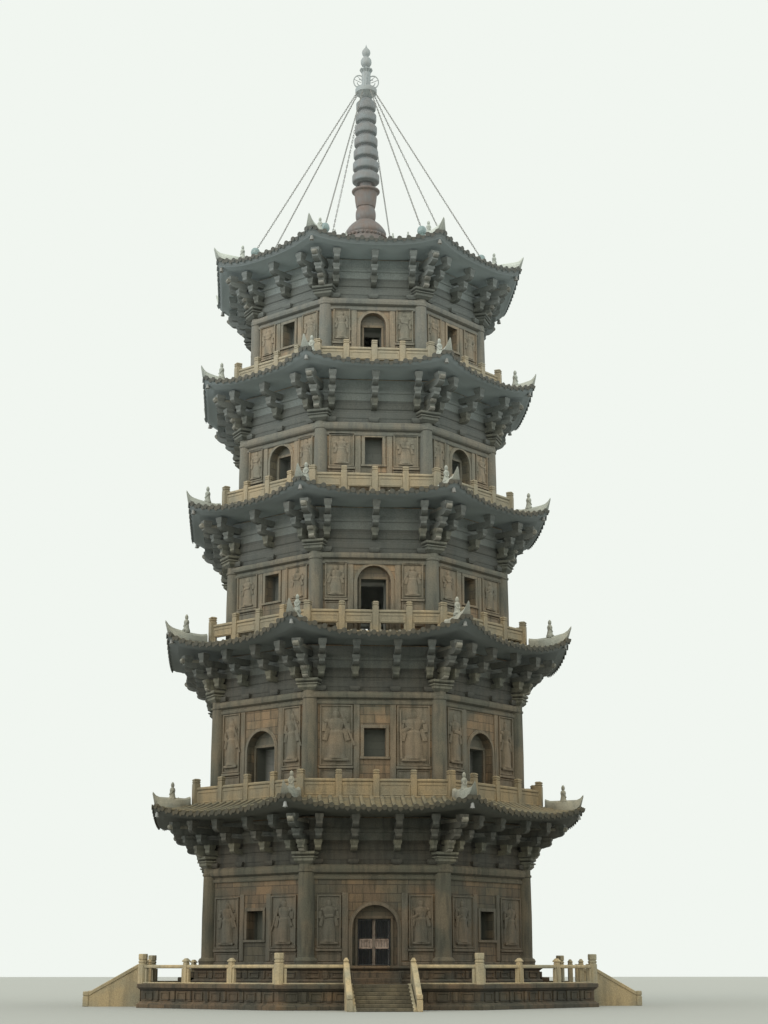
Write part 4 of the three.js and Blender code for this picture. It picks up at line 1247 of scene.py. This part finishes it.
def hip_ridge(roof, start):
    """The ridge of one hip, on the front, from start to the tip of its horn."""
    tip_distance, tip_top = roof["tip"]
    neck = max(tip_distance - HORN["length"], start + HORN["clear"])
    stations = []
    for i in range(RIDGE["steps"] + 1):
        distance = start + (neck - start) * i / RIDGE["steps"]
        top, foot = (hip_height(roof, distance) + height for height in (roof["ridge"], -RIDGE["seat"]))
        middle = Vector((0, -distance, (top + foot) / 2))
        stations.append((middle, RIDGE["half_width"], (top - foot) / 2, 0.2))
    ridge_top = hip_height(roof, neck) + roof["ridge"]
    blade_top = tip_top - SPIKE["tall"]
    for i in range(1, HORN["steps"] + 1):
        share = i / HORN["steps"]
        distance = neck + (tip_distance - neck) * share
        end = max(share - SPIKE["start"], 0) / (1 - SPIKE["start"])
        top = ridge_top + (blade_top - ridge_top) * share ** HORN["curve"] + SPIKE["tall"] * end**1.3
        foot = min(hip_height(roof, distance) - RIDGE["seat"], top - 0.1)
        foot += (tip_top - 0.1 - foot) * end**1.6
        middle = Vector((0, -distance, (top + foot) / 2))
        wide = (RIDGE["half_width"] + HORN["swell"] * math.sin(2.4 * share)) * (1 - 0.8 * end)
        stations.append((middle, wide, (top - foot) / 2, min(0.2 + share, 0.9)))
    return tube(stations)


for number, roof in enumerate(ROOF_PLANS, 1):
    if number < 5:
        start = (RAILINGS[number - 1]["apothem"] + 0.15) / CORNER + 0.12
    else:
        start = TOP_RIDGE_START
    ridges = stamped(bmesh.new(), hip_ridge(roof, start), ALL_CORNERS)
    finished(ridges, f"hip_ridges_{number}", HORN_STONE, crease=50)

# %% [markdown]
# ### Small carvings on the hips, and wind bells
# A seated guardian faces outwards on each hip, between the railing's corner post and the horn, and the
# top roof has a row of small ones. A wind bell hangs under every corner. They are seen only as
# outlines against the sky, so a robe, a head and two arms are enough.

# %% Hip figures and bells
def seated_figure(tall):
    """A small seated figure, facing outwards on the front hip."""
    robe = lathe([(0, 0), (0.24, 0), (0.25, 0.10), (0.19, 0.24), (0.15, 0.42), (0.18, 0.58), (0.14, 0.68),
                  (0.06, 0.72), (0, 0.73)], 10)
    head = lathe([(0, 0.70), (0.08, 0.71), (0.12, 0.80), (0.11, 0.90), (0.05, 0.98), (0, 1.0)], 8)
    knees = [ball((0.1, 0.14, 0.09), (hand * 0.12, -0.14, 0.12)) for hand in (-1, 1)]
    arms = [limb((hand * 0.17, 0, 0.58), (hand * 0.06, -0.17, 0.34), 0.06) for hand in (-1, 1)]
    figure = gathered(robe, head, *knees, *arms)
    bmesh.ops.scale(figure, vec=(0.82 * tall, 0.82 * tall, tall), verts=figure.verts)
    return figure


def wind_bell():
    """A small bell with its loop, hanging from height 0."""
    bell = lathe([(0, -0.10), (0.05, -0.11), (0.075, -0.16), (0.085, -0.26), (0.11, -0.33), (0.09, -0.33),
                  (0.07, -0.26), (0.055, -0.17), (0, -0.14)], 12)
    return gathered(bell, limb((0, 0, 0), (0, 0, -0.11), 0.018), limb((0, 0, -0.15), (0, 0, -0.37), 0.015))


figures, bells = bmesh.new(), bmesh.new()
for number, roof in enumerate(ROOF_PLANS, 1):
    corner = (roof["eave"] + CORNER_FLARE) / CORNER
    spots = [(corner - 0.9, 0.85)] if number < 5 else [(corner - 1.3, 0.75), (4.6, 0.45), (3.0, 0.42)]
    for distance, tall in spots:
        height = hip_height(roof, distance) + roof["ridge"] - 0.05
        stamped(figures, seated_figure(tall), [side @ moved(0, -distance, height) for side in ALL_CORNERS])
    under = swept(roof, roof["eave"] * HALF_SIDE, roof["eave"], roof["under"] + 0.03)
    stamped(bells, wind_bell(), [side @ moved(0, 0.22 - corner, under.z) for side in ALL_CORNERS])
finished(figures, "hip_figures", HORN_STONE)
finished(bells, "wind_bells", CHAIN_IRON)

# %% [markdown]
# ## Balcony railings
# They have four bays on every side, with a rounded rail and sunk panels. Slots at the foot of the upper
# three let rain run off the balcony. The lowest railing is closed down to its kerb.

# %% Railings
for number, railing in enumerate(RAILINGS, 2):
    a, low, slot = railing["apothem"], STOREYS[number - 1]["floor"], railing["slot"]
    half = a * HALF_SIDE
    bay = half / 2
    kerb = [(a - 0.2, low - 0.1), (a + 0.2, low - 0.1), (a + 0.2, low + 0.03), (a + 0.17, low + 0.06),
            (a - 0.2, low + 0.06), (a - 0.2, low - 0.1)]
    fence = moulding(kerb)
    for i in range(-2, 2):
        one = rail_bay(i * bay + 0.09, (i + 1) * bay - 0.09, a, low + 0.06, railing["rail"], 0.14, slot, 0.15)
        stamped(fence, one, ALL_SIDES)
    slim = square_post(0.27, low, railing["post"], 0.24)
    stamped(fence, slim, [side @ moved(i * bay, -a) for i in (-1, 0, 1) for side in ALL_SIDES])
    stout = square_post(0.30, low, railing["post"])
    stamped(fence, stout, [side @ moved(0, -a / CORNER) for side in ALL_CORNERS])
    finished(fence, f"balcony_railing_{number}", BALCONY_STONE, [f"railing_{number}"])

# %% [markdown]
# ## The iron finial
# It stands on the top roof like a mast: a bowl with a row of beads, a barrel, a cup with a flared lip,
# seven wheels, a disc, a fluted crown with four scroll wheels, and two onions. All of it is turned
# work, so each casting is one line spun about the axis. A stone collar closes the joint where the
# tiles of the top roof end round the bowl.

# %% Finial castings
def ribbed(profile, ribs, depth):
    """A turned piece whose sides are pressed into ribs."""
    shape = lathe(profile, ribs * 4)
    for point in shape.verts:
        turn = math.atan2(point.co.y, point.co.x) * ribs
        point.co.xy *= 1 + depth * math.cos(turn)
    return shape


def round_the_axis(count):
    """Places for copies in a ring."""
    return [Matrix.Rotation(math.tau * i / count, 4, "Z") for i in range(count)]


collar = lathe([
    (0.95, CROWN_TOP - 0.25), (1.46, CROWN_TOP - 0.25), (1.46, CROWN_TOP + 0.02), (1.40, CROWN_TOP + 0.12),
    (1.24, CROWN_TOP + 0.16), (1.18, CROWN_TOP + 0.24), (0.95, CROWN_TOP + 0.24), (0.95, CROWN_TOP - 0.25),
], 32)
finished(collar, "crown_collar", TILE_STONE, crease=45)

bowl = lathe([
    (0, CROWN_TOP), (1.08, CROWN_TOP), (1.08, 37.18), (1.00, 37.22), (0.99, 37.44), (1.03, 37.50),
    (1.04, 37.58), (0.99, 37.70), (0.90, 37.84), (0.78, 37.99), (0.64, 38.12), (0.52, 38.20),
    (0.45, 38.25), (0.44, 38.28), (0.48, 38.34), (0.51, 38.48), (0.515, 38.62), (0.50, 38.78),
    (0.46, 38.92), (0.43, 38.97), (0.43, 39.00), (0.475, 39.03), (0.50, 39.12), (0.535, 39.36),
    (0.56, 39.62), (0.575, 39.76), (0.60, 39.81), (0.68, 39.84), (0.71, 39.875), (0.715, 39.92),
    (0.70, 39.95), (0.60, 39.965), (0.32, 39.99), (0.32, 40.33), (0, 40.33),
], 48)
bead = ball((0.085, 0.085, 0.085), (0, -1.03, 37.32))
stamped(bowl, bead, round_the_axis(28))
finished(bowl, "finial_bowl_and_cup", CUP_IRON, ["finial_base"], crease=30)

RINGS = dict(count=7, low=40.33, top=45.055, low_radius=0.695, top_radius=0.505)
pitch = (RINGS["top"] - RINGS["low"]) / RINGS["count"]
profile = [(0, RINGS["low"])]
for i in range(RINGS["count"]):
    r = RINGS["low_radius"] + (RINGS["top_radius"] - RINGS["low_radius"]) * i / (RINGS["count"] - 1)
    z = RINGS["low"] + i * pitch
    profile += [
        (0.68 * r, z), (0.72 * r, z + 0.02), (0.93 * r, z + 0.06), (0.985 * r, z + 0.10),
        (r, z + 0.15), (r, z + 0.42), (0.97 * r, z + 0.46), (0.86 * r, z + 0.52),
        (0.72 * r, z + 0.60), (0.66 * r, z + pitch - 0.01),
    ]
profile.append((0, RINGS["top"]))
finished(lathe(profile, 40), "finial_wheels", WHEEL_IRON, ["finial_rings"], crease=30)

disc = lathe([
    (0, 45.055), (0.19, 45.055), (0.21, 45.12), (0.30, 45.19), (0.40, 45.28), (0.47, 45.36), (0.545, 45.41),
    (0.556, 45.44), (0.556, 45.62), (0.53, 45.66), (0.47, 45.70), (0.30, 45.73), (0, 45.73),
], 40)
finished(disc, "finial_disc_casting", CROWN_IRON, ["finial_disc"], crease=30)

crown = ribbed([
    (0, 45.73), (0.24, 45.73), (0.245, 45.80), (0.225, 45.86), (0.222, 46.52), (0.235, 46.58), (0.235, 46.66),
    (0.20, 46.71), (0.21, 46.78), (0.15, 46.82), (0.11, 46.86), (0, 46.86),
], 12, 0.04)
leaf = slab([
    (0.20, 46.58), (0.25, 46.60), (0.30, 46.70), (0.335, 46.73), (0.315, 46.80), (0.26, 46.77), (0.20, 46.66),
], 0.09)
stamped(crown, leaf, round_the_axis(12))
finished(crown, "finial_crown_casting", CROWN_IRON, ["finial_crown"], crease=35)

gourd = lathe([
    (0, 46.86), (0.11, 46.86), (0.105, 46.90), (0.14, 46.94), (0.22, 47.00), (0.27, 47.10), (0.283, 47.20),
    (0.27, 47.31), (0.22, 47.41), (0.14, 47.48), (0.11, 47.52), (0.14, 47.56), (0.19, 47.63), (0.221, 47.74),
    (0.205, 47.85), (0.14, 47.95), (0.07, 48.03), (0.035, 48.12), (0, 48.24),
], 28)
finished(gourd, "finial_gourd_casting", CROWN_IRON, ["finial_gourd"], crease=30)

# %% [markdown]
# ### Scroll wheels
# Four openwork wheels stand out from the crown, over the four main sides. Each is a bent iron strip: an
# upright oval, a smaller curl inside it, and stalks that tie it to the crown. A small circle spun about
# a far centre gives a ring, and a part turn of the same gives the curl.

# %% Scrolls
def wire_ring(radius, wire, turn=math.tau, steps=18):
    """A ring, or part of one, in the plane of the tower's axis, centred on the origin."""
    shape = bmesh.new()
    lay = Matrix.Translation((0, -radius, 0)) @ Matrix.Rotation(math.pi / 2, 4, "Z")
    lay = lay @ Matrix.Diagonal((1, 0.7, 1, 1))
    circle = bmesh.ops.create_circle(shape, segments=7, radius=wire, matrix=lay)
    whole = abs(turn - math.tau) < 1e-6
    bmesh.ops.spin(
        shape, geom=circle["verts"] + shape.edges[:], cent=(0, 0, 0), axis=(1, 0, 0), dvec=(0, 0, 0),
        angle=turn, steps=steps, use_merge=whole)
    return closed_up(shape)


SCROLL = dict(radius=0.345, oval=0.8, centre=0.37, height=46.09)
r = SCROLL["radius"]
scroll = gathered(
    wire_ring(r, 0.034, steps=24),
    stamped(bmesh.new(), wire_ring(0.5 * r, 0.028, math.pi * 1.6, 14), [moved(0, 0.06, -0.05)]),
    limb((0, 0.12, -0.05), (0, -0.9 * r, 0.12), 0.024),
    limb((0, 0.5 * r, 0.08), (0, -0.35 * r, 0.9 * r), 0.022),
    limb((0, 0.3 * r, -0.2), (0, -0.45 * r, -0.85 * r), 0.022),
)
place = moved(0, -SCROLL["centre"], SCROLL["height"]) @ Matrix.Diagonal((1, SCROLL["oval"], 1, 1))
scrolls = stamped(bmesh.new(), scroll, [side @ place for side in MAIN_SIDES])
finished(scrolls, "finial_scrolls", CROWN_IRON, crease=50)

# %% [markdown]
# ## Chains
# Eight chains hold the finial against the wind, from under its disc to a ring on each hip. A chain is
# one link repeated, every second one turned a quarter about the chain's line. The links overlap by
# their own thickness, so the step is the inner length of a link. At the foot of each sits a glazed ball.

# %% Chain links
CHAIN = dict(top=(0.49, 45.40), foot=(6.0, 35.5), pitch=0.13, wire=0.015, half_width=0.04)


def chain_link():
    """One oval link along Z: a ring with its two halves drawn apart."""
    shape = bmesh.new()
    ring = CHAIN["half_width"] - CHAIN["wire"] / 2
    lay = Matrix.Translation((0, -ring, 0)) @ Matrix.Rotation(math.pi / 2, 4, "Z")
    circle = bmesh.ops.create_circle(shape, segments=5, radius=CHAIN["wire"], matrix=lay)
    bmesh.ops.spin(
        shape, geom=circle["verts"] + shape.edges[:], cent=(0, 0, 0), axis=(1, 0, 0), dvec=(0, 0, 0),
        angle=math.tau, steps=8, use_merge=True)
    closed_up(shape)
    half = CHAIN["pitch"] / 2 - ring + CHAIN["wire"]
    for point in shape.verts:
        point.co.z += math.copysign(half, point.co.z) if abs(point.co.z) > 1e-3 else 0
    return shape


(top_out, top_z), (foot_out, foot_z) = CHAIN["top"], CHAIN["foot"]
line = Vector((0, -foot_out + top_out, foot_z - top_z))
count = round(line.length / CHAIN["pitch"])
lie = line.to_track_quat("Z", "Y").to_matrix().to_4x4()
balls = bmesh.new()
for number, side in enumerate(ALL_CORNERS, 1):
    places = []
    for i in range(count):
        middle = Vector((0, -top_out, top_z)) + line * ((i + 0.5) / count)
        quarter = Matrix.Rotation(math.pi / 2 * (i % 2) + 0.4, 4, "Z")
        places.append(side @ Matrix.Translation(middle) @ lie @ quarter)
    chain = stamped(bmesh.new(), chain_link(), places)
    eye_bolt = lathe([(0, 35.40), (0.05, 35.40), (0.05, 35.62), (0, 35.62)], 8)
    stamped(chain, eye_bolt, [side @ moved(0, -foot_out)])
    finished(chain, f"chain_{number}", CHAIN_IRON, [f"stay_{number}"], crease=50)
    stand = lathe([
        (0, 34.85), (0.16, 34.85), (0.16, 35.06), (0.11, 35.10), (0.10, 35.22), (0.17, 35.27), (0.215, 35.35),
        (0.225, 35.45), (0.20, 35.56), (0.14, 35.64), (0.05, 35.68), (0, 35.68),
    ], 16)
    stamped(balls, stand, [side @ moved(0, -foot_out)])
finished(balls, "glazed_balls", GLAZE, crease=40)

# %% [markdown]
# ## The barred gate
# Two leaves of round bars close the front doorway. Each hangs on a heel post, has a pale stile where
# the leaves meet, and a plate at hand height with patchy paint. Each leaf rides on its own body of the
# measured model, so it swings when the joint does.

# %% Gate leaves
GATE = dict(back=6.44, hinge=0.652, low=1.75, high=3.63, plate=(2.46, 2.83), stile=0.056,
            heel_radius=0.028, bar_radius=0.014, bars=8)


def gate_bars(hand):
    """The black bars of one leaf. hand is 1 for the right leaf and -1 for the left one."""
    y, low, high, far = -GATE["back"], GATE["low"], GATE["high"], GATE["hinge"]
    heel, thin = GATE["heel_radius"], GATE["bar_radius"]
    shape = lathe([(0, low - 0.015), (heel, low - 0.015), (heel, high), (0, high)], 12)
    bmesh.ops.translate(shape, vec=(far, y, 0), verts=shape.verts)
    bar = lathe([(0, low), (thin, low), (thin, high), (0, high)], 8)
    step = (far - GATE["stile"]) / (GATE["bars"] + 1)
    stamped(shape, bar, [moved(GATE["stile"] + step * (i + 1), y) for i in range(GATE["bars"])])
    for z in (low + 0.03, high - 0.03):
        stamped(shape, block((0.02, y - 0.016, z - 0.022), (far, y + 0.016, z + 0.022), 0.004), [Matrix()])
    return mirrored_if_left(shape, hand)


def mirrored_if_left(shape, hand):
    """Turns a shape made for the right leaf into the left one's."""
    if hand < 0:
        bmesh.ops.scale(shape, vec=(-1, 1, 1), verts=shape.verts)
        bmesh.ops.reverse_faces(shape, faces=shape.faces)
    return shape


for hand, leaf in ((-1, "left"), (1, "right")):
    y = -GATE["back"]
    body = f"{leaf}_leaf"
    finished(gate_bars(hand), f"gate_bars_{leaf}", BLACK_PAINT, [f"gate_leaf_{leaf}"], body)
    stile = block((0.01, y - 0.018, GATE["low"]), (GATE["stile"], y + 0.018, GATE["high"]), 0.006)
    finished(mirrored_if_left(stile, hand), f"gate_stile_{leaf}", STILE_PAINT, body=body)
    low, high = GATE["plate"]
    reach = GATE["hinge"] / 2 - 0.05
    plate = gathered(
        framed_panel(GATE["hinge"] - 0.10, low, high, y - 0.004, 0.025, 0.012),
        block((-reach, y - 0.02, low - 0.03), (reach, y + 0.01, low), 0.004),
    )
    bmesh.ops.translate(plate, vec=(GATE["hinge"] / 2 + 0.02, 0, 0), verts=plate.verts)
    finished(mirrored_if_left(plate, hand), f"gate_plate_{leaf}", CREAM_PAINT, body=body)

# %% [markdown]
# ## Light, floor and camera
# The light is that of an overcast day: a pale sky all round and one very wide, weak lamp from the
# upper left that tells left faces from right ones. Two low, cool fills stand for the haze, which
# carries light in under the eaves from the sides. The camera stands where a visitor would, forty
# metres off at model size, and looks up.

# %% Stage
floor_shape = bmesh.new()
bmesh.ops.create_grid(floor_shape, x_segments=1, y_segments=1, size=150)
floor_mesh = bpy.data.meshes.new("studio_floor")
floor_shape.to_mesh(floor_mesh)
floor_shape.free()
floor = bpy.data.objects.new("studio_floor", floor_mesh)
bpy.context.scene.collection.objects.link(floor)
paper = bpy.data.materials.new("matt_floor_paper")
paper.use_nodes = True
paper.node_tree.nodes["Principled BSDF"].inputs["Base Color"].default_value = linear("#b4b5ae")
paper.node_tree.nodes["Principled BSDF"].inputs["Roughness"].default_value = 0.95
floor_mesh.materials.append(paper)

world = bpy.data.worlds.new("overcast_sky")
bpy.context.scene.world = world
world.use_nodes = True
world.node_tree.nodes["Background"].inputs["Color"].default_value = linear("#f1f6f0")
world.node_tree.nodes["Background"].inputs["Strength"].default_value = 1.0


def soft_lamp(name, energy, colour, heading):
    """A wide lamp far away that shines along a heading."""
    lamp = bpy.data.lights.new(name, "SUN")
    lamp.energy = energy
    lamp.angle = math.radians(50)
    lamp.color = linear(colour)[:3]
    holder = bpy.data.objects.new(name, lamp)
    holder.rotation_euler = Vector(heading).to_track_quat("-Z", "Y").to_euler()
    bpy.context.scene.collection.objects.link(holder)


soft_lamp("wide_soft_lamp", 0.85, "#fff4e4", (0.45, 0.80, -0.50))
soft_lamp("low_fill_from_the_left", 1.15, "#eef4ff", (0.95, 0.30, -0.08))
soft_lamp("low_fill_from_the_right", 0.5, "#eef4ff", (-0.95, 0.30, -0.08))
bpy.context.scene.view_settings.view_transform = "Standard"

# %% Camera
PITCH = math.radians(14.53)
LEVEL_HEADING = (0.0778, 0.9970)  # a few degrees to the right of straight ahead
camera_data = bpy.data.cameras.new("visitor_view")
camera_data.lens = 61.995
camera_data.sensor_width = 36
camera_data.clip_end = 500
camera = bpy.data.objects.new("visitor_view", camera_data)
looking = Vector((*[part * math.cos(PITCH) for part in LEVEL_HEADING], math.sin(PITCH)))
camera.location = (-2.760, -41.333, 0.8)
camera.rotation_euler = looking.to_track_quat("-Z", "Y").to_euler()
bpy.context.scene.collection.objects.link(camera)
bpy.context.scene.camera = camera
print("camera at", camera.location[:], "looking up by 14.53 degrees")
